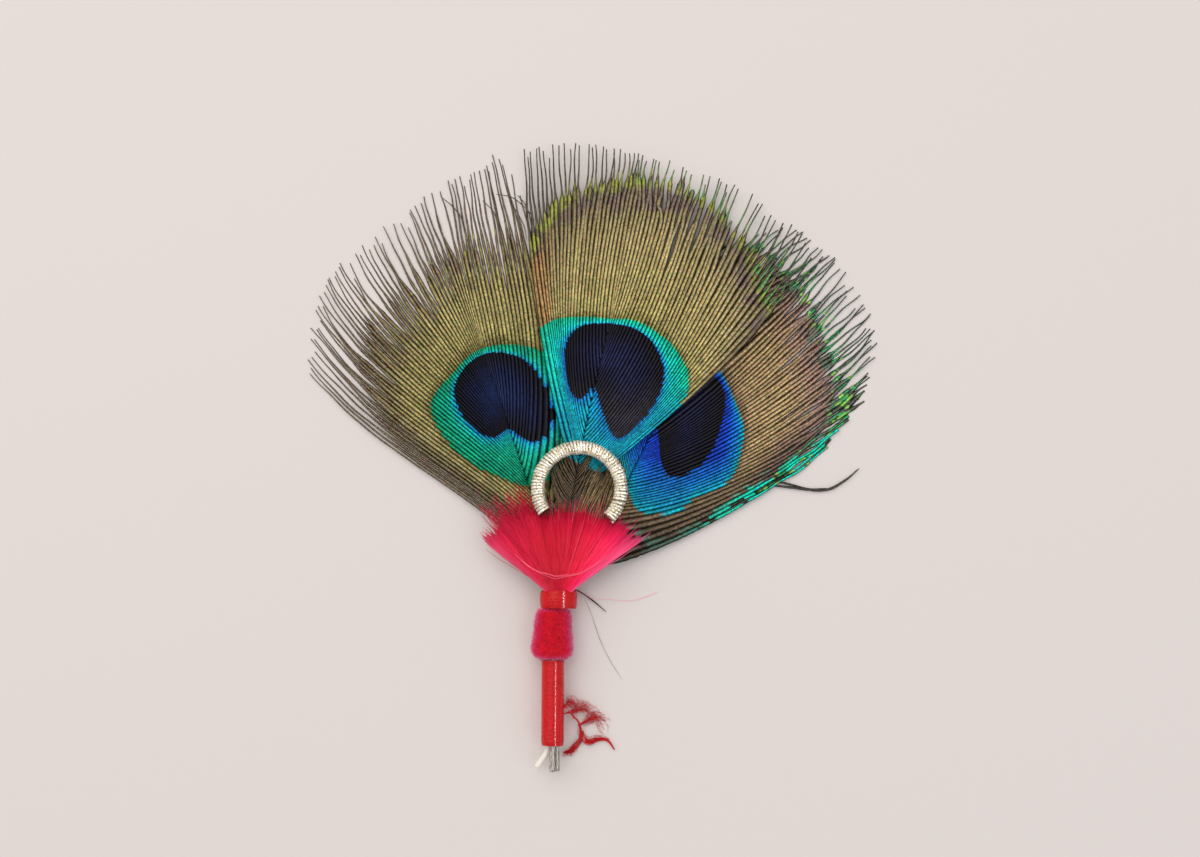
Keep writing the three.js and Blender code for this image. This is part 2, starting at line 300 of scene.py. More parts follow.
# barb guides: root along the vane's shaft, leaving angle, tip x and y, angle at the tip
bundle = {
    "height": 2.9, "tie": (1, 5.5), "tieSpread": 1.3,
    "shaftRadius": 0.5, "shaftTip": 0.09, "slit": 0.05, "slitTurn": 0.05, "settleLength": 30,
}
leftFeather = {
    "side": (-0.66, -0.38), "quill": (-2.7, -22.2),
    "vaneShaft": [(-2.1, 18.2), (-7.4, 33.7), (-11.7, 46.5)],
    "lies": 0.75, "rim": 0.2, "rimFrom": 38, "rimTo": 60, "top": 5 / 10,
    "guides": [
        (0.12, 131, -44, 45.6, 128), (0.36, 136, -42.9, 56, 122), (0.55, 131, -38.6, 64.5, 117),
        (0.8, 116, -26.5, 75, 110), (0.92, 112, -23.2, 77.6, 107), (1, 108, -20.8, 79.4, 104),
        (0.85, 101, -18.4, 80.8, 100), (0.74, 91, -16, 82, 98), (0.63, 82, -13.4, 82.8, 99),
        (0.48, 77, -9.8, 84, 104), (0.15, 72, -1, 66, 98),
    ],
    "heart": [
        (-17.6, 41.7), (-16.2, 45.4), (-13.1, 48.1), (-9.3, 48.6), (-5.2, 47.2), (-2.4, 44),
        (-0.8, 40.5), (-0.3, 37.1), (-1.3, 34), (-3.5, 32.7), (-6, 33.8), (-7.9, 35),
        (-9.5, 34.1), (-10.7, 33.6), (-13.3, 34.5), (-16.1, 37.6),
    ],
    "eye": [
        (-21.5, 38), (-21.1, 41), (-18.1, 44.7), (-14, 48.8), (-8.4, 50.1), (-2.6, 49),
        (0.9, 46.3), (3.6, 40.1), (3.2, 33.1), (0.1, 27), (-4.2, 25.1), (-8.7, 26.3),
        (-15, 29.4), (-19.2, 33.6),
    ],
    "band": [
        (-17.5, 24.4), (-27, 31.2), (-32.2, 38), (-34.4, 45), (-34.8, 51), (-32.2, 57.2), (-26.6, 62.8),
        (-21.8, 66.8), (-15.4, 69.8), (-9, 71.4), (-3, 71), (2, 66), (8, 55), (12, 40), (6, 22), (-4, 16),
    ],
    "barbs": 66, "crowd": (0.9, 0.86, 0.7, 0.84, 0.8, 0.75), "lean": 0.5, "ragged": (0.5, 1),
    "fade": (0.68, 1.05), "late": 0, "curl": 0, "wavy": 1, "footEnd": 24, "seed": 11, "airy": 0.5,
    "splits": [(0.48, 0.6, 0.2), (0.32, 0.62, 0.4), (0.18, 0.6, 0.3), (0.62, 0.5, 0.3), (0.8, 0.5, 0.3)],
}
rightFeather = {
    "side": (0.66, -0.38), "quill": (0.72, -22.7),
    "vaneShaft": [(9.6, 19.9), (17.4, 35.4), (24.3, 49)],
    "lies": 0.75, "rim": 0.2, "rimFrom": 38, "rimTo": 62, "top": 3 / 9,
    "guides": [
        (0.22, 79, 16, 57.5, 66), (0.34, 82, 22.2, 66.6, 48), (0.6, 75, 42.6, 71.1, 40),
        (1, 62, 47.1, 68.1, 46), (0.92, 48, 49, 66.4, 50), (0.62, 34, 50.6, 64.8, 47),
        (0.52, 18, 55.6, 56.2, 43), (0.43, 8, 57.5, 49.4, 37), (0.33, 4, 54.1, 38.8, 32),
        (0.12, 10, 47.5, 31, 32),
    ],
    "heart": [
        (27.9, 44.4), (29.6, 41.9), (29.8, 39.3), (29, 35.7), (27.7, 31.9), (25.3, 28.7),
        (22, 26.8), (19.7, 27), (18.5, 29.3), (18.1, 33.8), (17.5, 35.7), (15.8, 36.6),
        (14.9, 40.1), (16.7, 44.6), (22, 46.9),
    ],
    "eye": [
        (25.5, 48.1), (29, 45.3), (31.7, 39.6), (33, 34.9), (32.2, 30), (30.6, 26.3),
        (27, 24), (24.5, 23.2), (21.9, 20.9), (18.5, 20.1), (15.7, 20.2), (13.8, 21.6),
        (12.8, 24.4), (12.1, 27.9), (9.7, 34.9), (12.3, 43.7), (18.5, 49),
    ],
    "band": [
        (18, 12), (32, 20.5), (39.2, 28.2), (44.8, 32.4), (48.3, 36.7), (49.6, 43.2),
        (48.2, 47), (45.5, 55.6), (42.2, 61), (36, 68), (28, 70), (16, 60), (8, 40), (8, 22),
    ],
    "barbs": 64, "crowd": (0.7, 0.7, 0.75, 0.78, 0.82, 0.84, 0.95, 1.2), "lean": 0.55, "ragged": (0.62, 1),
    "fade": (0.92, 1.15), "late": 0.4, "curl": 1.5, "wavy": 2.2, "footEnd": 22, "seed": 23, "airy": 0.12,
    "splits": [(0.83, 0.75, 0.3)],
    "down": [((0.0, 0.36), 85, -9, (22, 7), 54, 0.45), ((0.1, 0.3), 88, -4, (9, 7), 14, 0.8)],
}
centreFeather = {
    "side": (0, 0.76), "quill": (0, -22.7),
    "vaneShaft": [(2.8, 20.4), (5.5, 35.4), (9.7, 53.9)],
    "lies": 2, "rim": 1.5, "rimFrom": 50, "rimTo": 82, "top": 4 / 9,
    "guides": [
        (0.45, 108, -6.3, 85.8, 95), (0.53, 107, -4.6, 86.4, 95), (0.62, 106, 4, 86.6, 92),
        (0.87, 95, 12, 85.5, 87), (1, 81, 15.2, 84.7, 83), (0.87, 68, 18.5, 83.9, 80),
        (0.6, 46, 28.4, 80.6, 72), (0.48, 37, 36.8, 76.1, 63), (0.42, 38, 45.6, 68.4, 58),
        (0.38, 40, 44.4, 62.5, 52),
    ],
    "heart": [
        (1.8, 47.1), (2, 50.1), (3.6, 52.4), (6.4, 53.5), (11.4, 53.3), (14.9, 52.1),
        (17.5, 49.6), (19.1, 44.8), (17.5, 39.5), (14.5, 35.7), (10.9, 33.2), (8.6, 37.2),
        (6.9, 42.3), (5.3, 40.6), (3.9, 40.2), (2.4, 42.5),
    ],
    "eye": [
        (-3.6, 50.4), (-0.6, 54), (4.8, 54.7), (9.7, 54.4), (14.6, 53.9), (20, 50.3),
        (22.9, 46), (23.4, 43.6), (22.8, 40.4), (19.2, 36), (14.8, 31.5), (10.5, 28.4),
        (7.9, 27.3), (3.6, 29.2), (-0.6, 32.6), (-2.8, 40.2),
    ],
    "band": [
        (-7, 57), (-4.4, 66.6), (-1.8, 72.4), (0.8, 75.7), (5.3, 77.9), (15, 79.8), (21, 79.4),
        (26.2, 76.3), (31, 72), (34.5, 66), (36.7, 58.5), (38, 54), (30, 42), (20, 30), (8, 18),
        (0, 20), (-4, 40),
    ],
    "barbs": 62, "crowd": (1.1, 1.05, 1, 1, 0.95, 0.9, 0.7), "lean": 0.5, "ragged": (0.7, 1),
    "fade": (0.94, 1.14), "late": 0, "curl": 0.3, "wavy": 1.3, "footEnd": 36, "seed": 37, "airy": 0.1,
    "splits": [(0.55, 0.5, 0.3), (0.24, 0.7, 0.2), (0.7, 0.7, 0.3)],
    # short dull barbs at the foot: shaft places, angle, bend, lengths, how many, how dull
    "down": [((0.02, 0.47), 126, -12, (9, 7.4), 44, 1), ((0.37, 0.5), 47, 12, (4, 5.5), 10, 1)],
}


def vaneHeight(feather, spots):
    # a vane leaves the tie with its shaft, comes down to its own layer and sinks at the rim
    tie = bundle["tie"]
    reach = np.hypot(spots[..., 0] - tie[0], spots[..., 1] - tie[1])
    tied = bundle["height"] + feather["side"][1]
    lying = mix(tied, feather["lies"], rise(0, bundle["settleLength"], reach))
    return lying - (feather["lies"] - feather["rim"]) * rise(feather["rimFrom"], feather["rimTo"], reach)


def shaftPoints(feather):
    side, quill, tie = feather["side"], feather["quill"], bundle["tie"]
    height = bundle["height"] + side[1]
    points = [
        (quill[0], quill[1], height), (side[0], -18.9, height), (side[0], -12, height),
        (side[0], -4.3, height), (tie[0] / 2 + side[0] * 1.15, 0.6, height),
        (tie[0] + side[0] * bundle["tieSpread"], tie[1], height),
    ]
    for x, y in feather["vaneShaft"]:
        points.append((x, y, float(vaneHeight(feather, np.array([x, y])))))
    return points


def barbPaths(feather, rounds, alongs, guides):
    # cubic sweeps from the shaft to the rim, one for each barb
    shaft = shaftPoints(feather)
    place = (5 + 3 * np.minimum(guides[:, 0], 1)) / 8
    root = slackCurve(shaft, place)
    tangent = slackCurve(shaft, np.minimum(place + 0.002, 1)) - slackCurve(shaft, place - 0.002)
    tangent /= np.linalg.norm(tangent, axis=1, keepdims=True)
    offset = bundle["slit"] * np.clip((rounds - feather["top"]) / bundle["slitTurn"], -1, 1)
    start = root[:, :2] + np.column_stack([tangent[:, 1], -tangent[:, 0]]) * offset[:, None]
    end = guides[:, 2:4]
    reach = np.linalg.norm(end - start, axis=1)[:, None, None]
    leave, arrive = np.radians(guides[:, 1]), np.radians(guides[:, 4])
    pull = np.stack([np.cos(leave), np.sin(leave)], 1)[:, None] * reach
    push = np.stack([np.cos(arrive), np.sin(arrive)], 1)[:, None] * reach
    t = alongs[None, :, None]
    flat = (start[:, None] * (2 * t**3 - 3 * t**2 + 1) + pull * (t**3 - 2 * t**2 + t)
            + end[:, None] * (3 * t**2 - 2 * t**3) + push * (t**3 - t**2))
    height = mix(root[:, None, 2], vaneHeight(feather, flat), np.minimum(1, 4 * alongs))
    return np.concatenate([flat, height[..., None]], axis=2)


barbRings, shaftRings, downRings, looseRings = 88, 90, 16, 60


def makeFeather(name, feather, bare, material, quillMaterial, extras=()):
    rng = np.random.default_rng(feather["seed"])
    count = feather["barbs"]
    spread = (np.arange(count) + 0.5) / count
    # how closely the barbs stand, measured square to them over their outer half
    probe = np.linspace(0, 1, 400)
    swept = barbPaths(feather, probe, np.linspace(0.45, 0.95, 6), curveThrough(feather["guides"], probe))
    swept = swept[..., :2]
    travelled = np.concatenate([[0], np.cumsum(np.linalg.norm(np.diff(swept[:, 3], axis=0), axis=1))])
    share = travelled / travelled[-1]
    heading = np.gradient(swept, axis=1)
    heading /= np.linalg.norm(heading, axis=2, keepdims=True)
    moved = np.diff(swept, axis=0)
    across = np.abs(moved[..., 0] * heading[1:, :, 1] - moved[..., 1] * heading[1:, :, 0]).mean(axis=1)
    crowd = np.interp(share, np.linspace(0, 1, len(feather["crowd"])), feather["crowd"])
    filled = np.concatenate([[0], np.cumsum(across * (crowd[1:] + crowd[:-1]) / 2)])
    rounds = np.interp(spread, filled / filled[-1], probe)
    turn = np.interp(rounds, probe, share)
    print(name, "barbs stand", round(across.sum() / count, 2), "mm apart")
    alongs = 1 - (1 - np.linspace(0, 1, barbRings)) ** 1.15
    guides = curveThrough(feather["guides"], rounds)
    even = barbPaths(feather, rounds, alongs, guides)

    # ragged tips: clumps lean the same way, a few barbs are broken short
    lean = groupNoise(rng, count, 5)
    guides[:, 4] += feather["lean"] * (4 * lean + rng.normal(0, 3, count))
    rimward = np.radians(guides[:, 4])
    short = (1.2 * np.abs(rng.normal(0, 1, count))
             + np.where(rng.random(count) < 0.07, rng.uniform(2, 7, count), 0))
    sideways = feather["lean"] * (0.4 * lean + rng.normal(0, 0.4, count))
    guides[:, 2] += -np.cos(rimward) * short + np.sin(rimward) * sideways
    guides[:, 3] += -np.sin(rimward) * short - np.cos(rimward) * sideways
    ragged = barbPaths(feather, rounds, alongs, guides)
    paths = even + (ragged - even) * rise(*feather["ragged"], alongs)[None, :, None]

    # waves, and splits where neighbours have come unzipped
    step = np.gradient(paths[..., :2], axis=1)
    step /= np.linalg.norm(step, axis=2, keepdims=True)
    normal = np.stack([step[..., 1], -step[..., 0]], axis=2)
    phase = rng.uniform(0, 2 * math.pi, (count, 3))
    wave = sum(
        size * np.sin(turns * math.pi * alongs[None] + phase[:, k:k + 1])
        for k, (size, turns) in enumerate([(0.12, 3), (0.07, 7), (0.05, 13)])
    ) * feather["wavy"] * rise(0.4, 1, alongs)[None]
    for where, since, opening in feather["splits"]:
        away = np.clip((turn - where) * count, -6, 6)
        push = np.where(away > 0, 1, -1) * (1 - np.abs(away) / 6) * opening / 2
        wave += push[:, None] * rise(since, min(1, since + 0.25), alongs)[None]
    curled = rise(0.64, 0.8, turn) * rng.uniform(0.3, 1, count) * feather["curl"]
    wave -= curled[:, None] * (np.clip((alongs - 0.72) / 0.28, 0, 1) ** 2)[None]
    paths[..., :2] += normal * wave[..., None]

    # colour fields, from the outlines of the heart, the eye and the bright band
    spots = paths[..., :2]
    heart = outlineDistance(feather["heart"], spots)
    eye = outlineDistance(feather["eye"], spots)
    band = outlineDistance(feather["band"], spots)
    ring = np.where(eye < 0, np.maximum(heart, 0) / (np.maximum(heart, 0) - eye + 1e-6), 1)
    outer = np.where(band < 0, np.maximum(eye, 0) / (np.maximum(eye, 0) - band + 1e-6), 1 + band / 10)

    # a ribbon fills the space to its neighbours until its barbules shorten beyond the band
    evenStep = np.gradient(even[..., :2], axis=1)
    evenStep /= np.linalg.norm(evenStep, axis=2, keepdims=True)
    apart = np.diff(even[..., :2], axis=0)
    apart = np.abs(apart[..., 0] * evenStep[1:, :, 1] - apart[..., 1] * evenStep[1:, :, 0])
    pitch = np.maximum(np.vstack([apart[:1], apart]), np.vstack([apart, apart[-1:]]))
    late = feather["late"] * rise(0.72, 0.85, turn) + rng.normal(0, 0.035, count)
    fade = rise(feather["fade"][0], feather["fade"][1], outer - late[:, None])
    taper = mix(1.2, bare(turn)[:, None], fade ** 0.7) + 0.6 * (1 - rise(0, 0.15, fade))
    taper = taper * mix(1, 0.5, rise(0.75, 1, alongs))[None]
    # some stay narrow, and the floor shows between them well inside the rim
    narrow = feather["airy"] * rng.random(count)[:, None] * rise(0.25, 0.75, outer)
    wide = 0.5 * np.clip(np.minimum(1.16 * pitch * (1 - narrow), taper), 0.13, 1.8)
    high = np.clip(0.34 * wide, 0.05, 0.13)
    paths[..., 2] += rng.normal(0, 0.05, (count, 1)) * np.minimum(1, 4 * alongs)[None]
    paths[..., 2] += 0.12 * groupNoise(rng, count, 4)[:, None] * rise(0.6, 1, alongs)[None]
    paths[..., 2] = np.maximum(paths[..., 2], high + 0.02)
    length = np.cumsum(np.linalg.norm(np.gradient(paths, axis=1), axis=2), axis=1)
    marks = {
        "heart": heart, "eye": eye, "ring": ring, "band": outer, "length": length,
        "tone": np.repeat(rng.random(count)[:, None], barbRings, 1),
        "turn": np.repeat(turn[:, None], barbRings, 1),
        "foot": 1 - rise(feather["footEnd"] - 8, feather["footEnd"], spots[..., 1]),
    }
    serrated = lambda strands, points: rng.uniform(0.86, 1.12, (strands, points))
    barbs = makeStrands(paths, wide, high, 4, marks, (0.0, 0.86), rough=serrated)

    # the shaft, from the cut quill to the end of the vane
    places = np.linspace(0, 1, shaftRings)
    shaft = slackCurve(shaftPoints(feather), places)[None]
    vanePart = np.clip((places - 5 / 8) / (3 / 8), 0, 1)[None]
    radius = mix(bundle["shaftRadius"], bundle["shaftTip"], rise(0, 0.5, vanePart))
    shaft[..., 2] -= 0.3 * rise(0.2, 0.5, vanePart) + 0.2 * rise(0.5, 0.7, vanePart)
    blank = {key: np.zeros((1, shaftRings)) for key in marks}
    blank["band"] = vanePart
    blank["length"] = places[None] * 75
    blank["tone"] += feather["side"][0] < 0
    rod = makeStrands(shaft, radius, radius, 12, blank, (0.88, 0.93))
    parts = [(barbs, 0), (rod, 1)]

    # short dull barbs low on the shaft, which lie over the rest
    for k, (span, leaving, bend, lengths, number, dull) in enumerate(feather.get("down", ())):
        first, last = [(5 + 3 * v) / 8 for v in span]
        root = slackCurve(shaftPoints(feather), np.linspace(first, last, number))
        leave = np.radians(leaving + rng.normal(0, 3, number))
        far = np.linspace(lengths[0], lengths[1], number) * rng.uniform(0.85, 1.1, number)
        line = np.linspace(0, 1, downRings)
        heading = leave[:, None] + math.radians(bend) * line[None] ** 2
        path = root[:, None] + np.stack([
            np.cos(heading) * far[:, None] * line, np.sin(heading) * far[:, None] * line,
            0.1 + 0.25 * np.sin(math.pi * line)[None] * np.ones((number, 1))
            + rng.normal(0, 0.06, (number, 1)) * line,
        ], axis=2)
        downMarks = {key: np.zeros((number, downRings)) for key in marks}
        downMarks["heart"] += 9
        downMarks["eye"] += 9
        downMarks["ring"] += 1
        downMarks["band"] += 0.4
        downMarks["foot"] += dull
        downMarks["length"] += far[:, None] * line
        downMarks["tone"] += rng.random((number, 1))
        downMarks["turn"] += 0.4
        half = 0.2 * np.sin(math.pi * np.clip(line * 0.85 + 0.12, 0, 1))[None] ** 0.5 * np.ones((number, 1))
        lane = (0.932 + 0.014 * k, 0.944 + 0.014 * k)
        parts.append((makeStrands(path, half, 0.4 * half, 4, downMarks, lane, rough=serrated), 0))

    # loose barbs that lie on their own
    for k, (points, halfWidth, tone) in enumerate(extras):
        places = np.linspace(0, 1, looseRings)
        line = curveThrough(points, places)[None]
        loose = halfWidth * np.sin(math.pi * np.clip(places * 0.9 + 0.08, 0, 1))[None] ** 0.5
        loose = loose * rng.uniform(0.8, 1.15, loose.shape)
        extraMarks = {key: np.zeros((1, looseRings)) for key in marks}
        extraMarks["heart"] += 9
        extraMarks["eye"] += 9
        extraMarks["ring"] += 1
        extraMarks["band"] += tone
        extraMarks["length"] = places[None] * 20
        extraMarks["tone"] += 0.4
        extraMarks["turn"] += 0.9
        lane = (0.962 + k * 0.005, 0.966 + k * 0.005)
        parts.append((makeStrands(line, loose, 0.5 * loose, 4, extraMarks, lane), 0))
    return joinMeshes(name, parts, [material, quillMaterial])


def barbMaterial(name, eyeStops, bandStops, heartStops, tints=(), patches=(), lows=None, count=100):
    # peacock barbules: keratin over melanin rods, which gives metallic colours that shift in zones
    material, tree = newMaterial(name)
    marks = {
        key: addNode(tree, "Attribute", {"attribute_name": key}, out="Fac")
        for key in ("heart", "eye", "ring", "band", "tone", "across", "length", "turn", "foot")
    }
    place = addNode(tree, "TexCoord", out="Object")
    # single barbules, about 0.35 mm apart, clouds of a few millimetres, and flecks
    speck = addNode(tree, "TexNoise", {"Scale": 2600.0, "Detail": 2.0, "Roughness": 0.6}, {"Vector": place})
    cloud = addNode(tree, "TexNoise", {"Scale": 420.0, "Detail": 2.0}, {"Vector": place})
    fleck = addNode(tree, "TexNoise", {"Scale": 1500.0, "Detail": 1.0}, {"Vector": place}, "Color")
    # zone borders wander a little from barb to barb
    wander, toneShift, cloudShift = (
        addNode(tree, "Math", {"operation": "MULTIPLY", 1: share},
                {0: addNode(tree, "Math", {"operation": "SUBTRACT", 1: 0.5}, {0: source})})
        for source, share in ((speck, 0.5), (marks["tone"], 0.12), (cloud, 0.5))
    )
    ringWander, bandWander = (
        addNode(tree, "Math", {"operation": "MULTIPLY", 1: share}, {0: wander}) for share in (0.25, 0.14)
    )
    heartPlace, eyePlace, ringPlace, jitter = (
        addNode(tree, "Math", {"operation": "ADD"}, {0: first, 1: second}) for first, second in (
            (marks["heart"], wander), (marks["eye"], wander), (marks["ring"], ringWander),
            (toneShift, cloudShift),
        )
    )
    far = addNode(tree, "MapRange", {"From Min": 0.35, "From Max": 0.85}, {"Value": marks["band"]})
    jitter = addNode(tree, "Math", {"operation": "MULTIPLY"}, {0: jitter, 1: far})
    bandPlace = addNode(tree, "Math", {"operation": "ADD"}, {0: marks["band"], 1: jitter})
    bandPlace = addNode(tree, "Math", {"operation": "ADD"}, {0: bandPlace, 1: bandWander})
    # heart colours run inwards, the others outwards
    depth, halfBand, halfMark, barbNumber, dull = (
        addNode(tree, "Math", {"operation": "MULTIPLY", 1: share}, {0: source}) for source, share in (
            (heartPlace, -0.1), (bandPlace, 0.5), (marks["band"], 0.5), (marks["turn"], count * 1.7),
            (marks["foot"], 0.9),
        )
    )
    heart, eye, band = (
        addNode(tree, "ValToRGB", {"stops": stops}, {"Fac": source})
        for stops, source in ((heartStops, depth), (eyeStops, ringPlace), (bandStops, halfBand))
    )
    for tint in tints:  # flanks of the vane that are tinted; one on the centre feather is painted shadow
        side, inner = (
            addNode(tree, "MapRange", {"From Min": tint[key][0], "From Max": tint[key][1]}, {"Value": source})
            for key, source in (("turn", marks["turn"]), ("band", bandPlace))
        )
        share = addNode(tree, "Math", {"operation": "MULTIPLY"}, {0: side, 1: inner})
        share = addNode(tree, "Math", {"operation": "MULTIPLY", 1: tint["strength"]}, {0: share})
        band = addNode(tree, "Mix", {"data_type": "RGBA", 7: linear(tint["colour"])}, {0: share, 6: band}, 2)
    # bright lengths of single barbs, 2 to 4 mm long
    for k, spot in enumerate(patches):
        reach = addNode(tree, "Math", {"operation": "MULTIPLY", 1: 1 / spot["size"]}, {0: marks["length"]})
        reach = addNode(tree, "Math", {"operation": "ADD", 1: 13.7 * k}, {0: reach})
        cell = addNode(tree, "CombineXYZ", links={0: reach, 1: barbNumber})
        share = addNode(tree, "TexNoise", {"Scale": 1.0, "Detail": 1.0, "Roughness": 0.7}, {"Vector": cell})
        share = addNode(tree, "MapRange", {"From Min": spot["cover"], "From Max": spot["cover"] + 0.05},
                        {"Value": share})
        for key, source in (("band", halfMark), ("turn", marks["turn"])):
            strength = addNode(tree, "ValToRGB", {"stops": spot[key]}, {"Fac": source})
            share = addNode(tree, "Math", {"operation": "MULTIPLY"}, {0: share, 1: strength})
        band = addNode(tree, "Mix", {"data_type": "RGBA", 7: linear(spot["colour"])}, {0: share, 6: band}, 2)
    # the barbs near the shaft's foot are dull brown
    band = addNode(tree, "Mix", {"data_type": "RGBA", 7: linear("#4a3c34")}, {0: dull, 6: band}, 2)
    if lows:  # heart and eye change towards the shaft's foot
        y = addNode(tree, "SeparateXYZ", links={0: place}, out="Y")
        low = addNode(tree, "MapRange", {"From Min": lows["from"], "From Max": lows["to"]}, {"Value": y})
        heart = addNode(tree, "Mix", {"data_type": "RGBA", 7: linear(lows["heart"])}, {0: low, 6: heart}, 2)
        low = addNode(tree, "Math", {"operation": "MULTIPLY", 1: lows["share"]}, {0: low})
        eye = addNode(tree, "Mix", {"data_type": "RGBA", 7: linear(lows["eye"])}, {0: low, 6: eye}, 2)
    outside = addNode(tree, "Math", {"operation": "GREATER_THAN", 1: 0.0}, {0: eyePlace})
    colour = addNode(tree, "Mix", {"data_type": "RGBA"}, {0: outside, 6: eye, 7: band}, 2)
    inside = addNode(tree, "Math", {"operation": "LESS_THAN", 1: 0.0}, {0: heartPlace})
    colour = addNode(tree, "Mix", {"data_type": "RGBA"}, {0: inside, 6: colour, 7: heart}, 2)

    # painted shade in the line where two barbs meet, grain of barbules that is partly painted glints, a tone
    # for each barb, and clouds
    side = addNode(tree, "Math", {"operation": "ABSOLUTE"}, {0: marks["across"]})
    layers = [
        addNode(tree, "ValToRGB", {"stops": stops}, {"Fac": source}) for stops, source in (
            # the barb's edges go nearly black: painted shade in the valleys between neighbouring barbs
            ([(0.0, 1.03), (0.4, 0.94), (0.7, 0.4), (1.0, 0.02)], side),
            # the grain lifts single barbules up to 1.6 times: partly their own grain, partly painted glints
            ([(0.3, 0.55), (0.5, 1.05), (0.7, 1.6)], speck),
            ([(0.0, 0.84), (1.0, 1.12)], marks["tone"]),
            ([(0.3, 0.84), (0.7, 1.14)], cloud),
        )
    ]
    # flecks where single barbules shine greener or browner
    shift = {7: (0.3, 0.3, 0.3), 8: (0.7, 0.7, 0.7), 9: (0.88, 0.9, 0.82), 10: (1.1, 1.08, 1.14)}
    layers.append(addNode(tree, "MapRange", {"data_type": "FLOAT_VECTOR", **shift}, {6: fleck}, "Vector"))
    for layer in layers:
        colour = addNode(tree, "Mix", {"data_type": "RGBA", "blend_type": "MULTIPLY", 0: 1.0},
                         {6: colour, 7: layer}, 2)
    # barbules leave the barb at 40 degrees and lie 0.35 mm apart
    slant = addNode(tree, "Math", {"operation": "MULTIPLY", 1: 0.3}, {0: side})
    slant = addNode(tree, "Math", {"operation": "ADD"}, {0: marks["length"], 1: slant})
    barbule = addNode(tree, "Math", {"operation": "MULTIPLY", 1: 2 * math.pi / 0.35}, {0: slant})
    barbule = addNode(tree, "Math", {"operation": "SINE"}, {0: barbule})
    barbule = addNode(tree, "Math", {"operation": "MULTIPLY", 1: 0.4}, {0: barbule})
    height = addNode(tree, "Math", {"operation": "ADD"}, {0: barbule, 1: speck})
    bump = addNode(tree, "Bump", {"Strength": 0.5, "Distance": 0.00006}, {"Height": height})
    body = addNode(tree, "BsdfPrincipled",
                   {"Metallic": 0.2, "Roughness": 0.5, "IOR": 1.55, "Specular IOR Level": 0.1},
                   {"Base Color": colour, "Normal": bump})
    addNode(tree, "OutputMaterial", links={"Surface": body})
    return material


def quillMaterial():
    # cut horn quill: ivory keratin with grey pith lines
    material, tree = newMaterial("horn quill")
    across = addNode(tree, "Attribute", {"attribute_name": "across"}, out="Fac")
    length = addNode(tree, "Attribute", {"attribute_name": "length"}, out="Fac")
    white = addNode(tree, "Attribute", {"attribute_name": "tone"}, out="Fac")
    spot = addNode(tree, "CombineXYZ", links={0: across, 1: length})
    stretch = addNode(tree, "Mapping", {"Scale": (3.2, 0.5, 1.0)}, {"Vector": spot})
    streak = addNode(tree, "TexNoise", {"Scale": 1.0, "Detail": 3.0}, {"Vector": stretch})
    horn = addNode(tree, "ValToRGB", {"stops": [(0.36, "#57524c"), (0.5, "#a09a92"), (0.66, "#d8d3ca")]},
                   {"Fac": streak})
    horn = addNode(tree, "Mix", {"data_type": "RGBA", 7: linear("#f0ebe2")}, {0: white, 6: horn}, 2)
    along = addNode(tree, "Attribute", {"attribute_name": "band"}, out="Fac")
    vanePart = addNode(tree, "ValToRGB", {"stops": [(0.0, 0.0), (0.08, 1.0)]}, {"Fac": along})
    colour = addNode(tree, "Mix", {"data_type": "RGBA", 7: linear("#241b14")},
                     {0: vanePart, 6: horn}, 2)
    bump = addNode(tree, "Bump", {"Strength": 0.3, "Distance": 0.0001}, {"Height": streak})
    body = addNode(tree, "BsdfPrincipled", {"Roughness": 0.4, "IOR": 1.55},
                   {"Base Color": colour, "Normal": bump})
    addNode(tree, "OutputMaterial", links={"Surface": body})
    return material


horn = quillMaterial()
darkHeart = [(0.0, "#0b0b14"), (0.12, "#0c0c1c"), (0.4, "#101a40"), (0.62, "#142450")]
leftBarbs = barbMaterial(
    "left barbs, green eye",
    [(0.0, "#0a5cb8"), (0.1, "#08a8b8"), (0.35, "#08a88a"), (1.0, "#089068")],
    [(0.0, "#6a6438"), (0.06, "#9e945e"), (0.26, "#a89c68"), (0.36, "#988e5e"), (0.42, "#84765c"),
     (0.47, "#7c6e5c"), (0.54, "#756a5a"), (1.0, "#685e52")],
    darkHeart,
    [{"turn": (0.135, 0.044), "band": (-0.1, 0.1), "colour": "#5c5044", "strength": 0.8},
     {"turn": (0.5, 0.25), "band": (0.3, 0.7), "colour": "#786a52", "strength": 0.6}],
    [
        {"size": 3.0, "cover": 0.53, "colour": "#76624c",
         "band": [(0.2, 0.0), (0.34, 0.9), (1.0, 0.9)],
         "turn": [(0.0, 1.0), (1.0, 1.0)]},
        {"size": 1.6, "cover": 0.6, "colour": "#a8ac44",
         "band": [(0.36, 0.0), (0.42, 0.6), (0.5, 0.6), (0.55, 0.0)],
         "turn": [(0.09, 0.2), (0.32, 1.0), (1.0, 1.0)]},
    ],
    count=leftFeather["barbs"],
)
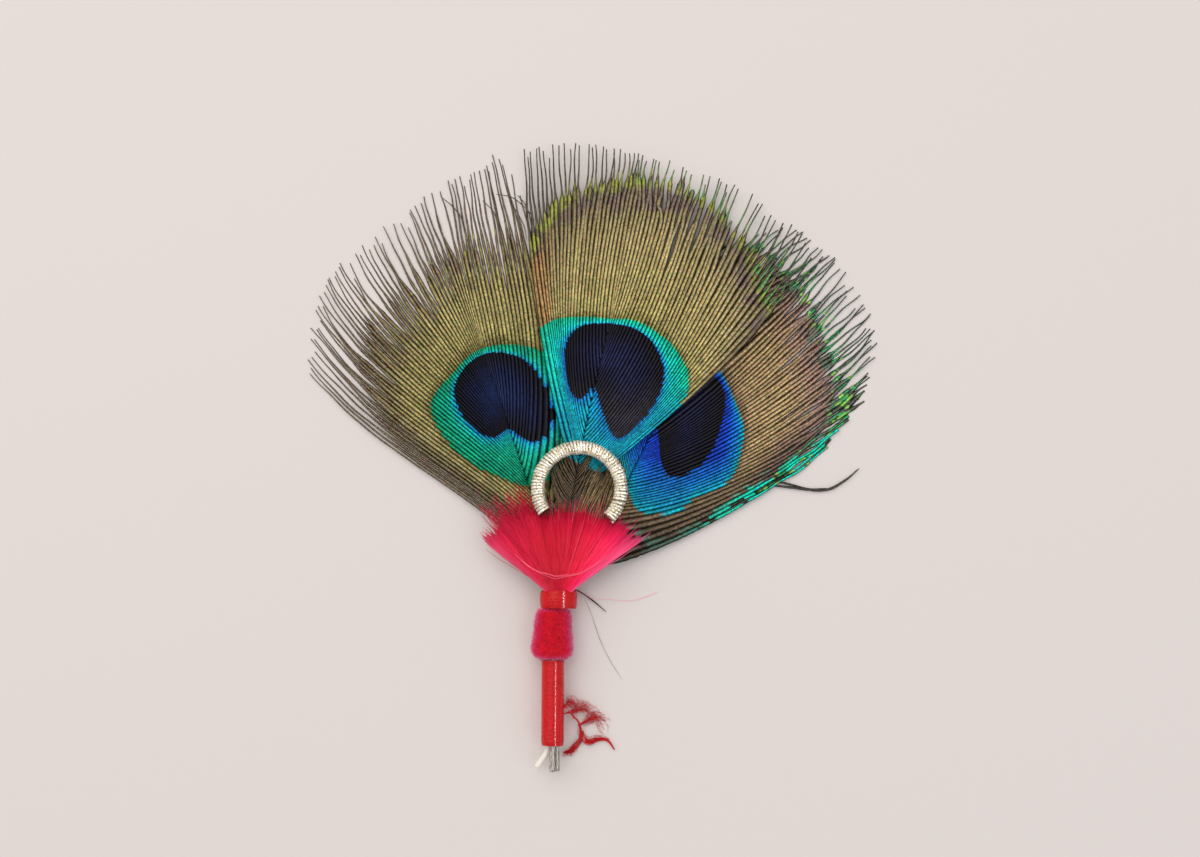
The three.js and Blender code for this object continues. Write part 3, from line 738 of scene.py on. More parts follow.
rightBarbs = barbMaterial(
    "right barbs, blue eye",
    [(0.0, "#0830aa"), (0.4, "#0a48c0"), (0.75, "#0876c8"), (1.0, "#08a0a8")],
    [(0.0, "#6a5840"), (0.06, "#a08864"), (0.26, "#a89068"), (0.4, "#94786a"), (0.46, "#78665e"),
     (0.5, "#566456"), (0.57, "#4c5850"), (1.0, "#46524a")],
    [(0.0, "#0b0a14"), (0.2, "#0d0b1a"), (0.5, "#121434")],
    [{"turn": (0.78, 0.9), "band": (0.0, 0.1), "colour": "#483e36", "strength": 0.75},
     {"turn": (0.93, 0.96), "band": (0.4, 0.6), "colour": "#16241f", "strength": 0.9}],
    [
        {"size": 3.6, "cover": 0.5, "colour": "#349058",
         "band": [(0.47, 0.0), (0.51, 1.0), (0.62, 1.0), (0.75, 0.0)],
         "turn": [(0.0, 1.0), (0.93, 1.0), (0.972, 0.3)]},
        {"size": 4.0, "cover": 0.45, "colour": "#04ccb0",
         "band": [(0.22, 0.0), (0.34, 1.0), (0.7, 1.0), (0.8, 0.0)],
         "turn": [(0.89, 0.0), (0.925, 1.0), (1.0, 1.0)]},
        {"size": 2.0, "cover": 0.57, "colour": "#80b850",
         "band": [(0.46, 0.0), (0.5, 1.0), (0.6, 1.0), (0.7, 0.0)],
         "turn": [(0.0, 1.0), (1.0, 1.0)]},
    ],
    {"from": 0.03, "to": 0.021, "heart": "#0d0b1a", "eye": "#0894a8", "share": 0.7},
    rightFeather["barbs"],
)
centreBarbs = barbMaterial(
    "centre barbs, teal eye",
    [(0.0, "#0c60c4"), (0.1, "#08a8cc"), (0.32, "#06ccc0"), (1.0, "#06b486")],
    [(0.0, "#7a723e"), (0.05, "#a69a62"), (0.2, "#aa9c68"), (0.3, "#a69768"), (0.4, "#908260"),
     (0.44, "#766658"), (0.475, "#6c5c56"), (0.52, "#6a6048"), (0.58, "#5c5448"), (1.0, "#544c44")],
    [(0.0, "#0a0a14"), (0.15, "#0e0c1c"), (0.45, "#16193c"), (0.7, "#1c2042")],
    [{"turn": (0.095, 0.04), "band": (0.95, 0.88), "colour": "#a07c50", "strength": 0.9},
     # a dark brown flank along the centre's lower right edge, beside the right feather: painted shadow
     {"turn": (0.911, 0.968), "band": (0.1, 0.5), "colour": "#42362e", "strength": 0.8}],
    [
        {"size": 2.4, "cover": 0.44, "colour": "#8e9448",
         "band": [(0.452, 0.0), (0.47, 1.0), (0.52, 1.0), (0.55, 0.0)],
         "turn": [(0.0, 1.0), (0.126, 1.0), (0.172, 0.3)]},
        {"size": 2.6, "cover": 0.47, "colour": "#8e9444",
         "band": [(0.465, 0.0), (0.485, 1.0), (0.56, 1.0), (0.66, 0.0)],
         "turn": [(0.111, 0.0), (0.157, 0.8), (0.406, 1.0), (1.0, 1.0)]},
        {"size": 3.0, "cover": 0.47, "colour": "#5c8c50",
         "band": [(0.475, 0.0), (0.51, 1.0), (0.6, 0.9), (0.8, 0.3)],
         "turn": [(0.3, 0.0), (0.454, 1.0), (1.0, 1.0)]},
    ],
    {"from": 0.044, "to": 0.037, "heart": "#2e2a34", "eye": "#0c76b8", "share": 0.6},
    centreFeather["barbs"],
)

leftPiece = makeFeather("leftFeather", leftFeather, lambda turn: mix(0.3, 0.38, turn), leftBarbs, horn, extras=[
    ([(-20.4, 76.8, 0.8), (-18.4, 75.1, 0.9), (-16.8, 73, 0.9), (-15.8, 70, 0.9)], 0.11, 1.7),
    ([(-13, 76.2, 0.8), (-10.9, 73.8, 0.9), (-10.1, 70.6, 1), (-9.8, 67.9, 1)], 0.11, 1.7),
    ([(-10.6, 77.3, 1), (-7.6, 76.5, 1.3), (-4.9, 74.1, 1.6), (-3.6, 72.2, 1.8)], 0.1, 1.7),
    ([(-8.2, 75.9, 1), (-6.8, 73.8, 1.3), (-5.5, 71.1, 1.5), (-5, 68.4, 1.5)], 0.1, 1.7),
    ([(-6.8, 77, 1.3), (-5.5, 75.4, 1.5), (-4.4, 72.7, 1.7), (-4, 70.5, 1.8)], 0.1, 1.7),
])
rightPiece = makeFeather(
    "rightFeather", rightFeather, lambda turn: mix(0.38, 0.66, rise(0.78, 0.93, turn)), rightBarbs, horn,
    extras=[
        ([(33, 25.8, 0.5), (40.8, 24.9, 0.45), (46.8, 24.4, 0.4), (50.3, 26, 0.4), (53, 28.2, 0.4)], 0.24, 1.7),
        ([(33.5, 26.6, 0.5), (39.6, 25.7, 0.45), (44, 24.6, 0.4), (47.2, 24.7, 0.4)], 0.2, 1.7),
        ([(2.6, 7.6, 1.6), (4.3, 7, 1.2), (6.6, 5.5, 0.6), (9, 3.5, 0.3)], 0.14, 1.7),
        ([(5.2, 5.9, 0.9), (6.2, 3.8, 0.5), (7.9, -1.1, 0.3), (9.6, -4.6, 0.25), (11.7, -7.9, 0.2)], 0.03, 1.7),
    ],
)
centrePiece = makeFeather("centreFeather", centreFeather, lambda turn: mix(0.4, 0.5, turn), centreBarbs, horn)
settle(leftPiece, "left_feather")
settle(rightPiece, "right_feather")
settle(centrePiece, "centre_feather")
print("feathers made")


def windThread(centres, outX, outY, turns, radius, halfWidth, halfDepth, lane, rng, jitter, gaps=()):
    # one thread wound round a core: centres, outX and outY are functions of the share of the way
    steps = int(turns * 22)
    share = np.linspace(0, 1, steps)
    for place, opening in gaps:
        share = share + opening * (rise(place - 0.004, place + 0.004, share) - share)
    angle = np.linspace(0, 2 * math.pi * turns, steps)
    wobble = curveThrough(rng.normal(0, jitter, (int(turns) + 2, 2)), np.linspace(0, 1, steps))
    out = outX(share) * np.cos(angle)[:, None] + outY(share) * np.sin(angle)[:, None]
    lift = radius(share) + np.abs(wobble[:, 0])
    share = np.clip(share + wobble[:, 1] / turns, 0, 1)
    path = centres(share) + out * lift[:, None]
    out /= np.linalg.norm(out, axis=1, keepdims=True)
    size = np.ones((1, steps))
    marks = {
        "length": (angle * radius(share).mean())[None],
        "tone": curveThrough(rng.random((int(turns) + 2, 1)), np.linspace(0, 1, steps))[:, 0][None],
    }
    return makeStrands(path[None], size * halfWidth, size * halfDepth, 6, marks, lane, up=out[None])


goldRing = {
    "centre": (4.4, 24.3), "radius": 7.1, "from": 212, "to": -45, "lowest": 4.2, "leftLift": 0.1,
    "rightLift": 1.65, "core": 0.95, "coreLength": 32,
    "turns": 62, "wire": 1.03, "threadWidth": 0.56, "threadDepth": 0.26,
    "gaps": [(0.284, 0.004), (0.905, 0.009)], "jitter": 0.05, "seed": 5,
}


def ringLine(share):
    angle = np.radians(mix(goldRing["from"], goldRing["to"], share))
    lift = np.where(share < 0.5, goldRing["leftLift"], goldRing["rightLift"])
    x = goldRing["centre"][0] + goldRing["radius"] * np.cos(angle)
    y = goldRing["centre"][1] + goldRing["radius"] * np.sin(angle)
    return np.stack([x, y, goldRing["lowest"] + lift * (2 * share - 1) ** 2], axis=-1)


def ringOut(share):
    angle = np.radians(mix(goldRing["from"], goldRing["to"], share))
    return np.stack([np.cos(angle), np.sin(angle), 0 * angle], axis=-1)


def straightUp(share):
    return np.stack([0 * share, 0 * share, 1 + 0 * share], axis=-1)


def metalThreadMaterial():
    # lurex: a pale gold foil strip twisted round a core, with painted glints as white spots in its colour and
    # painted shade that turns its gaps brown
    material, tree = newMaterial("pale gold lurex thread")
    place = addNode(tree, "TexCoord", out="Object")
    glint = addNode(tree, "TexNoise", {"Scale": 2600.0, "Detail": 3.0, "Roughness": 0.7},
                    {"Vector": place})
    across = addNode(tree, "Attribute", {"attribute_name": "across"}, out="Fac")
    length = addNode(tree, "Attribute", {"attribute_name": "length"}, out="Fac")
    tone = addNode(tree, "Attribute", {"attribute_name": "tone"}, out="Fac")
    # the colour runs from brown gold to white over the noise: painted glints
    colour = addNode(tree, "ValToRGB", {"stops": [(0.36, "#8c7444"), (0.43, "#d0bf8c"),
                                                  (0.5, "#f0e8d0"), (0.58, "#ffffff")]},
                     {"Fac": glint})
    side = addNode(tree, "Math", {"operation": "ABSOLUTE"}, {0: across})
    # the thread's edges darken to 0.4: painted shade in the grooves between turns
    grooveShade = addNode(tree, "ValToRGB", {"stops": [(0.66, 1.0), (1.0, 0.4)]}, {"Fac": side})
    shade = addNode(tree, "ValToRGB", {"stops": [(0.0, 0.9), (1.0, 1.25)]}, {"Fac": tone})
    for layer in (grooveShade, shade):
        colour = addNode(tree, "Mix", {"data_type": "RGBA", "blend_type": "MULTIPLY", 0: 1.0},
                         {6: colour, 7: layer}, 2)
    # the foil's own twist, about 0.18 mm from edge to edge
    slant = addNode(tree, "Math", {"operation": "MULTIPLY_ADD", 1: 34.0},
                    {0: length, 2: addNode(tree, "Math", {"operation": "MULTIPLY", 1: 2.4},
                                           {0: across})})
    twist = addNode(tree, "Math", {"operation": "SINE"}, {0: slant})
    height = addNode(tree, "Math", {"operation": "ADD"}, {0: twist, 1: glint})
    bump = addNode(tree, "Bump", {"Strength": 0.4, "Distance": 0.00004}, {"Height": height})
    body = addNode(tree, "BsdfPrincipled", {"Metallic": 0.25, "Roughness": 0.22, "Specular IOR Level": 1.0},
                   {"Base Color": colour, "Normal": bump})
    addNode(tree, "OutputMaterial", links={"Surface": body})
    return material


def makeRing():
    rng = np.random.default_rng(goldRing["seed"])
    share = np.linspace(0, 1, 120)
    core = ringLine(share)[None]
    thick = np.full((1, 120), goldRing["core"])
    blank = {"length": share[None] * goldRing["coreLength"],
             # the core takes the darkest edge value: painted shade where it shows between turns
             "tone": 0 * share[None], "across": 1 + 0 * share[None]}
    coreMesh = makeStrands(core, thick, thick, 16, blank, (0.9, 0.98))
    turns = goldRing["turns"]
    thread = windThread(
        ringLine, ringOut, straightUp, turns, lambda s: goldRing["wire"] + 0 * s,
        goldRing["threadWidth"] / 2, goldRing["threadDepth"] / 2, (0.0, 0.88), rng, jitter=goldRing["jitter"],
        gaps=goldRing["gaps"],
    )
    return joinMeshes("goldRing", [(coreMesh, 0), (thread, 0)], [metalThreadMaterial()])


ringPiece = makeRing()
settle(ringPiece, "gold_ring")
print("ring wound")


silkTuft = {
    "throat": 0.85, "root": 5.6, "shoulder": (3.5, 8.4), "fibres": 4750, "rings": 7,
    "radius": 0.06, "wisps": 190, "wispRadius": 0.034, "hairs": 70, "hairRadius": 0.022, "strays": 4,
    "strayRings": 40, "seed": 8,
    "tips": [(-12, 15.6), (-8.8, 19), (-4.6, 20.6), (-1.2, 20.2), (3, 20.6), (7.6, 19.8),
             (12, 18.3), (14.8, 15.4)],
    "depth": [0.4, 0.7, 1.7, 1.6, 1.2, 0.6],
}


def flossMaterial():
    # silk floss: dyed filament without twist, bright along the fibre and pinker where it thins out; its right
    # side carries painted light where it turns from the lamp
    material, tree = newMaterial("dyed silk floss")
    along = addNode(tree, "Attribute", {"attribute_name": "along"}, out="Fac")
    side = addNode(tree, "Attribute", {"attribute_name": "side"}, out="Fac")
    tone = addNode(tree, "Attribute", {"attribute_name": "tone"}, out="Fac")
    base = addNode(tree, "ValToRGB", {"stops": [(0.0, "#d00a20"), (0.35, "#e00c2c"),
                                                (0.8, "#e61238"), (1.0, "#f42c5c")]},
                   {"Fac": along})
    # pinker at both sides where the floss thins out; the brighter right end is also painted light
    edge = addNode(tree, "ValToRGB", {"stops": [(0.0, "#fc6498"), (0.08, "#f42c5c"), (0.4, "#dc1032"),
                                                (0.72, "#ff1c50"), (0.9, "#ff3078"), (1.0, "#ff74b4")]},
                   {"Fac": side})
    colour = addNode(tree, "Mix", {"data_type": "RGBA", 0: 0.6}, {6: base, 7: edge}, 2)
    shade = addNode(tree, "ValToRGB", {"stops": [(0.0, 0.84), (0.8, 1.02)]}, {"Fac": tone})
    # the right side is multiplied up to 1.3: painted light
    rightSideLight = addNode(tree, "ValToRGB", {"stops": [(0.6, 1.0), (0.85, 1.3)]}, {"Fac": side})
    for layer in (shade, rightSideLight):
        colour = addNode(tree, "Mix", {"data_type": "RGBA", "blend_type": "MULTIPLY", 0: 1.0},
                         {6: colour, 7: layer}, 2)
    pale = addNode(tree, "ValToRGB", {"stops": [(0.85, 0.0), (1.0, 0.6)]}, {"Fac": tone})
    colour = addNode(tree, "Mix", {"data_type": "RGBA", 7: linear("#ffa0b4")},
                     {0: pale, 6: colour}, 2)
    body = addNode(tree, "BsdfPrincipled",
                   {"Roughness": 0.5, "IOR": 1.5, "Specular IOR Level": 0.12, "Sheen Weight": 0.05,
                    "Sheen Roughness": 0.4, "Sheen Tint": linear("#ff6a94")}, {"Base Color": colour})
    addNode(tree, "OutputMaterial", links={"Surface": body})
    return material


def flossPaths(across, layer, reach, rng, fray):
    rings = silkTuft["rings"]
    along = np.linspace(0, 1, rings)
    tie = bundle["tie"]
    tips = curveThrough(silkTuft["tips"], (across + 1) / 2)
    t = (along[None] * reach[:, None])[..., None]
    start = np.column_stack([tie[0] + silkTuft["throat"] * across, np.full(len(across), silkTuft["root"])])
    shoulder = silkTuft["shoulder"]
    bend = np.column_stack([tie[0] + shoulder[0] * across, np.full(len(across), shoulder[1])])
    flat = (1 - t) ** 2 * start[:, None] + 2 * t * (1 - t) * bend[:, None] + t**2 * tips[:, None]
    sway = rng.normal(0, 1, (len(across), 1, 2)) * (rise(0.3, 1, along) ** 1.5)[None, :, None]
    flat = flat + sway * fray[:, None, None]
    under = vaneHeight(centreFeather, flat) + 0.8
    depth = curveThrough(np.array(silkTuft["depth"])[:, None], np.clip(t[..., 0], 0, 1).ravel())[:, 0]
    depth = depth.reshape(under.shape) * (1 - 0.5 * np.abs(across) ** 3)[:, None]
    height = under + layer[:, None] * depth
    return np.concatenate([flat, height[..., None]], axis=2)


def makeTuft():
    rng = np.random.default_rng(silkTuft["seed"])
    count, rings = silkTuft["fibres"], silkTuft["rings"]
    across = rng.uniform(-1, 1, count)
    layer = rng.random(count) ** 0.45
    clump = groupNoise(rng, 400, 9)[((across + 1) * 199).astype(int)]
    reach = 0.975 + 0.012 * clump + rng.normal(0, 0.022, count) - 0.03 * layer
    reach = reach + np.where(rng.random(count) < 0.06, rng.uniform(0, 0.1, count), 0)
    paths = flossPaths(across, layer, reach, rng, np.where(rng.random(count) < 0.06, 0.5, 0.16))
    radius = silkTuft["radius"] * mix(0.75, 1.0, np.linspace(0, 1, rings))[None] * np.ones((count, 1))
    radius[:, -1] *= 0.5
    ones = np.ones((1, rings))
    marks = {
        "along": np.linspace(0, 1, rings)[None] * np.ones((count, 1)),
        "side": ((across + 1) / 2)[:, None] * ones,
        "tone": np.where(rng.random(count) < 0.008, 0.9, rng.random(count) * 0.8)[:, None] * ones,
    }
    parts = [(makeStrands(paths, radius, radius, 3, marks, (0.0, 0.9)), 0)]

    # wisps that have come loose over the left corner, and pale hairs that reach into the ring
    count = silkTuft["wisps"] + silkTuft["hairs"]
    pale = np.arange(count) >= silkTuft["wisps"]
    across = np.where(pale, rng.uniform(-0.35, 0.6, count), rng.uniform(-0.8, -0.3, count))
    reach = 1 + np.where(pale, rng.uniform(0.0, 0.13, count), rng.uniform(-0.02, 0.16, count))
    paths = flossPaths(across, rng.uniform(0.3, 1, count), reach, rng, np.full(count, 0.4))
    paths[..., 0] -= rng.uniform(0, 1, (count, 1)) * rise(0.7, 1, np.linspace(0, 1, rings))[None]
    radius = np.where(pale, silkTuft["hairRadius"], silkTuft["wispRadius"])[:, None] * np.ones((1, rings))
    marks = {
        "along": np.linspace(0, 1, rings)[None] * np.ones((count, 1)),
        "side": ((across + 1) / 2)[:, None] * ones,
        "tone": np.where(pale, rng.uniform(0.85, 1, count), rng.uniform(0, 0.3, count))[:, None] * ones,
    }
    parts.append((makeStrands(paths, radius, radius, 3, marks, (0.9, 0.95)), 0))

    # single threads that cross the tuft above the neck
    rings = silkTuft["strayRings"]
    for k in range(silkTuft["strays"]):
        way = np.linspace(-1, 1, rings) * rng.uniform(0.8, 1) + rng.uniform(-0.1, 0.1)
        across = 0.86 * np.tanh(2.6 * way)
        reach = rng.uniform(0.36, 0.42) + 0.36 * np.abs(way) ** 1.5 + 0.01 * np.sin(9 * way + k)
        line = flossPaths(across, np.full(rings, 1.06), np.minimum(reach, 0.96), rng, np.zeros(rings))[:, -1]
        marks = {"along": np.ones((1, rings)), "side": np.full((1, rings), 0.8),
                 "tone": np.full((1, rings), 0.96)}
        thick = np.full((1, rings), silkTuft["wispRadius"])
        lane = (0.95 + 0.004 * k, 0.953 + 0.004 * k)
        parts.append((makeStrands(line[None], thick, thick, 4, marks, lane), 0))
    loose = curveThrough([(3.2, 7.6, 2.4), (6.2, 5.9, 1.2), (9.8, 5.6, 0.5), (13.3, 5.4, 0.3), (15.9, 6.1, 0.2),
                          (17.8, 6.9, 0.2)], np.linspace(0, 1, rings))
    thick = np.full((1, rings), silkTuft["hairRadius"])
    parts.append((makeStrands(loose[None], thick, thick, 4, marks, (0.99, 0.995)), 0))
    return joinMeshes("silkTuft", parts, [flossMaterial()])


tuftPiece = makeTuft()
settle(tuftPiece, "silk_tuft")
print("tuft spread")


neckBinding = {"foot": 4.2, "head": 7.1, "low": 2.62, "high": 2.82, "flat": 1.13, "x": 0.9, "turns": 16,
               "jitter": 0.012, "seed": 3}
stemBinding = {"foot": -18.4, "head": -4.6, "radius": 1.9, "turns": 84, "jitter": 0.008, "seed": 4}


def satinThreadMaterial():
    # viscose embroidery thread: flat shiny filament, with a bright streak along the winding
    material, tree = newMaterial("red satin thread")
    place = addNode(tree, "TexCoord", out="Object")
    tone = addNode(tree, "Attribute", {"attribute_name": "tone"}, out="Fac")
    length = addNode(tree, "Attribute", {"attribute_name": "length"}, out="Fac")
    across = addNode(tree, "Attribute", {"attribute_name": "across"}, out="Fac")
    grain = addNode(tree, "TexNoise", {"Scale": 1500.0, "Detail": 2.0}, {"Vector": place})
    colour = addNode(tree, "ValToRGB", {"stops": [(0.3, "#c40410"), (0.6, "#d00612"), (0.8, "#dc0e1c")]},
                     {"Fac": grain})
    side = addNode(tree, "Math", {"operation": "ABSOLUTE"}, {0: across})
    # the thread's edges darken a little: painted shade in the grooves between turns
    grooveShade = addNode(tree, "ValToRGB", {"stops": [(0.4, 1.0), (0.56, 0.94)]}, {"Fac": side})
    shade = addNode(tree, "ValToRGB", {"stops": [(0.0, 0.93), (1.0, 1.06)]}, {"Fac": tone})
    for layer in (grooveShade, shade):
        colour = addNode(tree, "Mix", {"data_type": "RGBA", "blend_type": "MULTIPLY", 0: 1.0},
                         {6: colour, 7: layer}, 2)
    # filaments 0.05 mm apart across the thread, drawn at 0.09 mm so that they show
    lines = addNode(tree, "Math", {"operation": "MULTIPLY_ADD", 1: 7.0},
                    {0: across, 2: addNode(tree, "Math", {"operation": "MULTIPLY", 1: 1.2},
                                           {0: length})})
    lines = addNode(tree, "Math", {"operation": "SINE"}, {0: lines})
    bump = addNode(tree, "Bump", {"Strength": 0.1, "Distance": 0.00002}, {"Height": lines})
    body = addNode(tree, "BsdfPrincipled",
                   {"Roughness": 0.16, "IOR": 1.54, "Specular IOR Level": 0.25},
                   {"Base Color": colour, "Normal": bump})
    addNode(tree, "OutputMaterial", links={"Surface": body})
    return material


satinThread = satinThreadMaterial()


def woundRod(start, end, radius, turns, flat, rng, lanes, jitter):
    # a core and the thread wound on it, along the stem
    start, end = np.array(start, float), np.array(end, float)
    line = lambda share: start + (end - start) * np.asarray(share)[..., None]
    sideways = lambda share: np.stack([flat + 0 * share, 0 * share, 0 * share], axis=-1)
    pitch = np.linalg.norm(end - start) / turns
    # flat floss: each turn overlaps the next and stands up very little
    thread = windThread(line, sideways, straightUp, turns, lambda s: radius(s) - pitch * 0.12,
                        pitch * 0.95, pitch * 0.12, lanes[0], rng, jitter=jitter)
    share = np.linspace(0, 1, 24)
    core = line(share)[None]
    thick = (radius(share) - pitch * 0.2)[None]
    blank = {"length": share[None] * 10, "tone": 0 * share[None]}
    coreMesh = makeStrands(core, thick * flat, thick, 28, blank, lanes[1])
    return [(thread, 0), (coreMesh, 0)]


def makeNeck():
    rng = np.random.default_rng(neckBinding["seed"])
    size = neckBinding
    radius = lambda s: size["low"] + (size["high"] - size["low"]) * np.sin(math.pi * np.clip(s, 0, 1)) ** 0.6
    parts = woundRod((size["x"], size["foot"], bundle["height"]), (size["x"], size["head"], bundle["height"]),
                     radius, size["turns"], size["flat"], rng, ((0.0, 0.9), (0.91, 0.99)), size["jitter"])
    return joinMeshes("neckBinding", parts, [satinThread])


neckPiece = makeNeck()
settle(neckPiece, "neck_binding")

frayed = {
    "long": [(1.75, -11.8, 2.9), (3.2, -13.6, 2.3), (4.4, -15, 1.3), (4.9, -17, 0.6), (6.1, -18.2, 0.5),
             (7.6, -17.8, 0.5), (9.1, -17.9, 0.5), (10.3, -19.4, 0.5)],
    "short": [(4.85, -16.6, 0.7), (4.3, -18.2, 0.6), (3.2, -19.6, 0.6), (1.9, -20, 0.6)],
    "longFibres": 60, "shortFibres": 80, "hairs": 165,
}


def frayFibres(route, count, spread, rings, rng, lane, thick=0.028):
    # loose filaments that wander round a route
    share = np.linspace(0, 1, rings)
    angle = rng.uniform(0, 2 * math.pi, (count, 1)) + rng.normal(0, 3, (count, 1)) * share[None]
    away = spread(share)[None] * rng.uniform(0.1, 1, (count, 1)) * (0.7 + 0.3 * np.sin(9 * share[None] + angle))
    first = rng.uniform(0, 0.25, count) * (rng.random(count) < 0.4)
    last = 1 - rng.uniform(0, 0.3, count) * (rng.random(count) < 0.5)
    own = first[:, None] + (last - first)[:, None] * share[None]
    line = curveThrough(route, own.ravel()).reshape(count, rings, 3)
    path = line + np.stack([np.cos(angle) * away, np.sin(angle) * away, 0.4 * np.sin(2 * angle) * away], axis=2)
    path[..., 2] = np.maximum(path[..., 2], 0.08)
    radius = np.full((count, rings), thick)
    ones = np.ones((1, rings))
    marks = {"length": share[None] * 18 * np.ones((count, 1)), "tone": rng.random((count, 1)) * ones}
    return makeStrands(path, radius, radius, 4, marks, lane)


def makeStem():
    rng = np.random.default_rng(stemBinding["seed"])
    size = stemBinding
    radius = lambda s: size["radius"] - 0.1 * (1 - rise(0, 0.05, np.asarray(s)))
    parts = woundRod((0, size["foot"], bundle["height"]), (0, size["head"], bundle["height"]),
                     radius, size["turns"], 1.0, rng, ((0.0, 0.5), (0.51, 0.55)), size["jitter"])
    parts.append((frayFibres(
        frayed["long"], frayed["longFibres"], lambda s: 0.16 + 0.7 * rise(0.35, 0.5, s) * rise(1.02, 0.6, s),
        26, rng, (0.56, 0.7)), 0))
    parts.append((frayFibres(
        frayed["short"], frayed["shortFibres"], lambda s: 0.45 + 0.5 * s, 14, rng, (0.7, 0.8), 0.026), 0))
    hairRoutes = [
        [(1.8, -12.5, 2.6), (2.6, -11.4, 2), (3.4, -11.8, 1.4), (4.2, -12.6, 0.8)],
        [(1.8, -13.5, 2.4), (3.4, -13, 1.6), (5, -12.6, 0.9), (6.4, -12.9, 0.5)],
        [(4.2, -15.5, 0.8), (5.6, -14.8, 0.6), (7, -14.2, 0.5), (8.2, -14.6, 0.4)],
    ]
    for k, route in enumerate(hairRoutes):
        lane = (0.81 + 0.05 * k, 0.85 + 0.05 * k)
        hairs = frayFibres(route, frayed["hairs"] // 3, lambda s: 0.1 + 2.4 * s**1.3, 12, rng, lane, 0.02)
        parts.append((hairs, 0))
    return joinMeshes("stemBinding", parts, [satinThread])


stemPiece = makeStem()
settle(stemPiece, "stem_binding")
print("bindings wound")


velvetKnob = {
    "profile": [(2.2, -4.1), (3.05, -3.65), (3.45, -2.4), (3.2, 0.1), (3.05, 2.2), (2.9, 3.4), (2.2, 4.0)],
    "flat": 0.9, "x": 0.0, "rows": 34, "segments": 56, "pile": 11500, "pileLength": 0.34,
    "seed": 6,
}


def velvetMaterial():
    # rayon velvet: short upright pile, deep red looking into it and pink along its edges, where the pink is
    # painted sheen set by how steeply the cloth faces
    material, tree = newMaterial("crimson rayon velvet")
    place = addNode(tree, "TexCoord", out="Object")
    rim = addNode(tree, "Attribute", {"attribute_name": "side"}, out="Fac")
    tone = addNode(tree, "Attribute", {"attribute_name": "tone"}, out="Fac")
    nap = addNode(tree, "TexNoise", {"Scale": 700.0, "Detail": 3.0}, {"Vector": place})
    # the side mark turns the colour pink where the cloth faces sideways: painted sheen
    mixed = addNode(tree, "Math", {"operation": "MULTIPLY_ADD", 1: 0.2}, {0: nap, 2: rim})
    colour = addNode(tree, "ValToRGB", {"stops": [(0.1, "#f8082a"), (0.35, "#fa0e3c"),
                                                  (0.62, "#ff3c80"), (0.95, "#ff94c0")]},
                     {"Fac": mixed})
    shade = addNode(tree, "ValToRGB", {"stops": [(0.0, 0.88), (1.0, 1.12)]}, {"Fac": tone})
    colour = addNode(tree, "Mix", {"data_type": "RGBA", "blend_type": "MULTIPLY", 0: 1.0},
                     {6: colour, 7: shade}, 2)
    body = addNode(tree, "BsdfPrincipled",
                   {"Roughness": 0.9, "Specular IOR Level": 0.2, "Sheen Weight": 0.7, "Sheen Roughness": 0.35,
                    "Sheen Tint": linear("#ff6a94")},
                   {"Base Color": colour})
    addNode(tree, "OutputMaterial", links={"Surface": body})
    return material


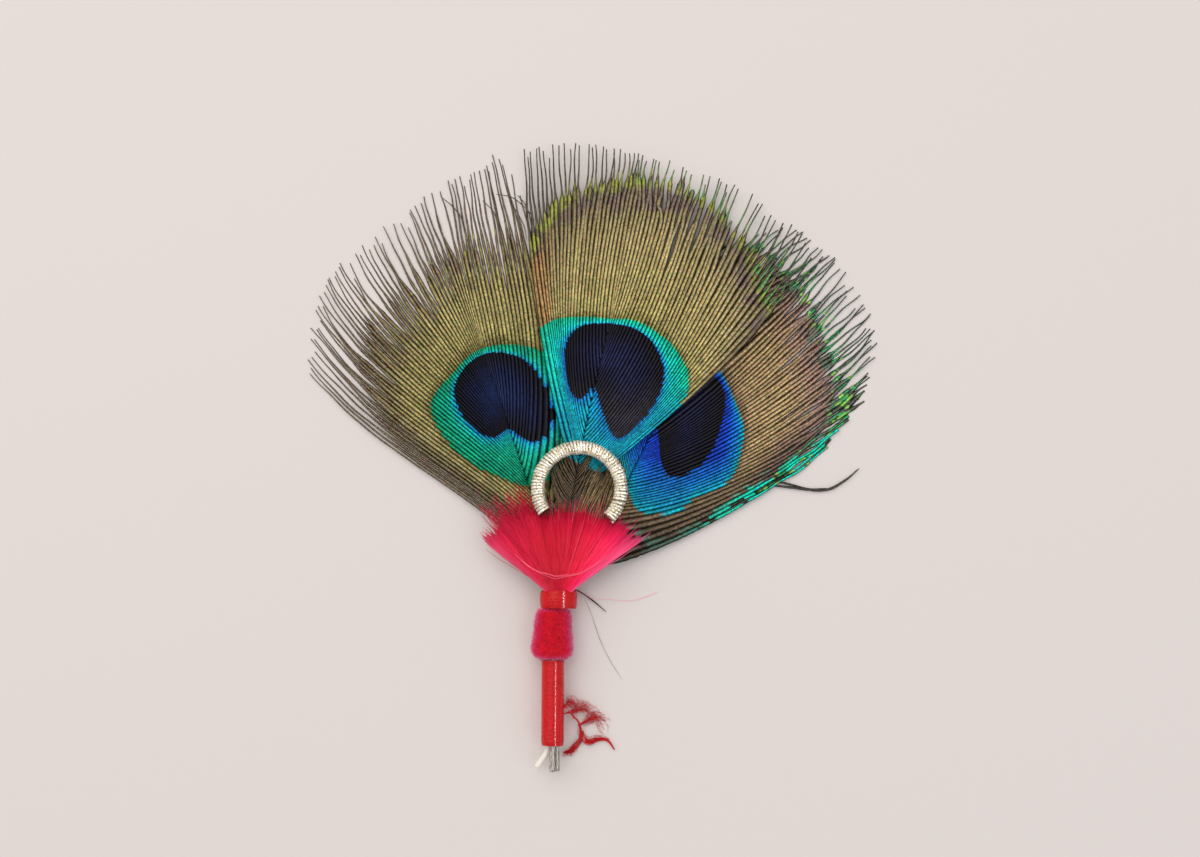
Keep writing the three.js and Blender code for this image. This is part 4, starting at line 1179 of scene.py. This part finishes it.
def makeKnob():
    rng = np.random.default_rng(velvetKnob["seed"])
    size = velvetKnob
    bm = bmesh.new()
    bmesh.ops.create_cone(bm, cap_ends=True, segments=size["segments"], radius1=1, radius2=1, depth=1)
    long = [e for e in bm.edges if abs(e.verts[0].co.z - e.verts[1].co.z) > 0.5]
    bmesh.ops.subdivide_edges(bm, edges=long, cuts=size["rows"] - 2)
    caps = [f for f in bm.faces if len(f.verts) > 4]
    bmesh.ops.inset_region(bm, faces=caps, thickness=0.3)
    caps = [f for f in bm.faces if len(f.verts) > 4]
    bmesh.ops.poke(bm, faces=caps)
    bmesh.ops.recalc_face_normals(bm, faces=bm.faces)
    mesh = bpy.data.meshes.new("knob")
    bm.to_mesh(mesh)
    bm.free()
    unit = readPoints(mesh)
    share = unit[:, 2] + 0.5
    outline = curveThrough(size["profile"], share)
    angle = np.arctan2(unit[:, 1], unit[:, 0])
    swell = 1 + 0.05 * np.sin(2 * angle + 3 * share) + 0.03 * np.sin(3 * angle - 7 * share + 1)
    swell += 0.06 * np.exp(-((share - 0.22) / 0.18) ** 2) * np.clip(-np.cos(angle), 0, 1)
    inner = np.hypot(unit[:, 0], unit[:, 1])
    reach = (outline[:, 0] - 0.42) * swell * inner
    crown = 0.22 * (1 - inner) * np.sign(unit[:, 2])
    points = np.column_stack([
        size["x"] + reach * np.cos(angle), outline[:, 1] + crown,
        bundle["height"] + size["flat"] * reach * np.sin(angle),
    ])
    points[:, 2] = np.maximum(points[:, 2], 0.3)
    mesh.vertices.foreach_set("co", (points * mm).ravel())
    mesh.update()
    bm = bmesh.new()
    bm.from_mesh(mesh)
    bmesh.ops.recalc_face_normals(bm, faces=bm.faces)
    bm.to_mesh(mesh)
    bm.free()

    # short pile, standing on the cloth and combed a little towards the stem
    centres = np.array([p.center for p in mesh.polygons]) / mm
    normals = np.array([p.normal for p in mesh.polygons])
    areas = np.array([p.area for p in mesh.polygons])
    pick = rng.choice(len(areas), size["pile"], p=areas / areas.sum())
    foot = centres[pick] + rng.normal(0, 0.14, (len(pick), 3))
    lean = normals[pick] + rng.normal(0, 0.28, (len(pick), 3)) + np.array([0, -0.15, 0])
    lean /= np.linalg.norm(lean, axis=1, keepdims=True)
    reach = size["pileLength"] * rng.uniform(0.7, 1.15, len(pick))
    rings = np.array([-0.15, 0.6, 1.0])
    pile = foot[:, None] + lean[:, None] * (rings[None] * reach[:, None])[..., None]
    pile[..., 2] = np.maximum(pile[..., 2], 0.06)
    thick = 0.045 * np.array([1, 0.9, 0.35])[None] * np.ones((len(pick), 1))
    # the side mark grows where the cloth faces sideways and towards the pile tips: painted sheen
    sheenRimOf = lambda steep: np.clip(1 - steep, 0, 1) ** 0.85
    ones = np.ones((1, 3))
    marks = {"side": sheenRimOf(normals[pick, 2])[:, None] * ones + 0.1 * rings[None],
             "tone": rng.random((len(pick), 1)) * ones}
    pileMesh = makeStrands(pile, thick, thick, 3, marks, (0.3, 1.0), up=(0.35, 0.2, 0.91))
    attribute = mesh.attributes.new("side", "FLOAT", "POINT")
    steep = np.empty(len(mesh.vertices) * 3)
    mesh.vertices.foreach_get("normal", steep)
    attribute.data.foreach_set("value", sheenRimOf(steep.reshape(-1, 3)[:, 2]).astype(np.float32))
    mesh.attributes.new("tone", "FLOAT", "POINT")
    layer = mesh.uv_layers.new(name="OFBake")
    corners = np.empty(len(mesh.loops), int)
    mesh.loops.foreach_get("vertex_index", corners)
    turn = (angle[corners] / (2 * math.pi)) % 1
    keepWhole(mesh, turn)
    down = 0.03 + 0.2 * share[corners] + 0.02 * (1 - inner[corners]) * np.sign(unit[corners, 2])
    layer.data.foreach_set("uv", np.column_stack([turn / 1.05, down]).ravel())
    return joinMeshes("velvetKnob", [(mesh, 0), (pileMesh, 0)], [velvetMaterial()])


knobPiece = makeKnob()
settle(knobPiece, "velvet_knob")
print("knob covered")
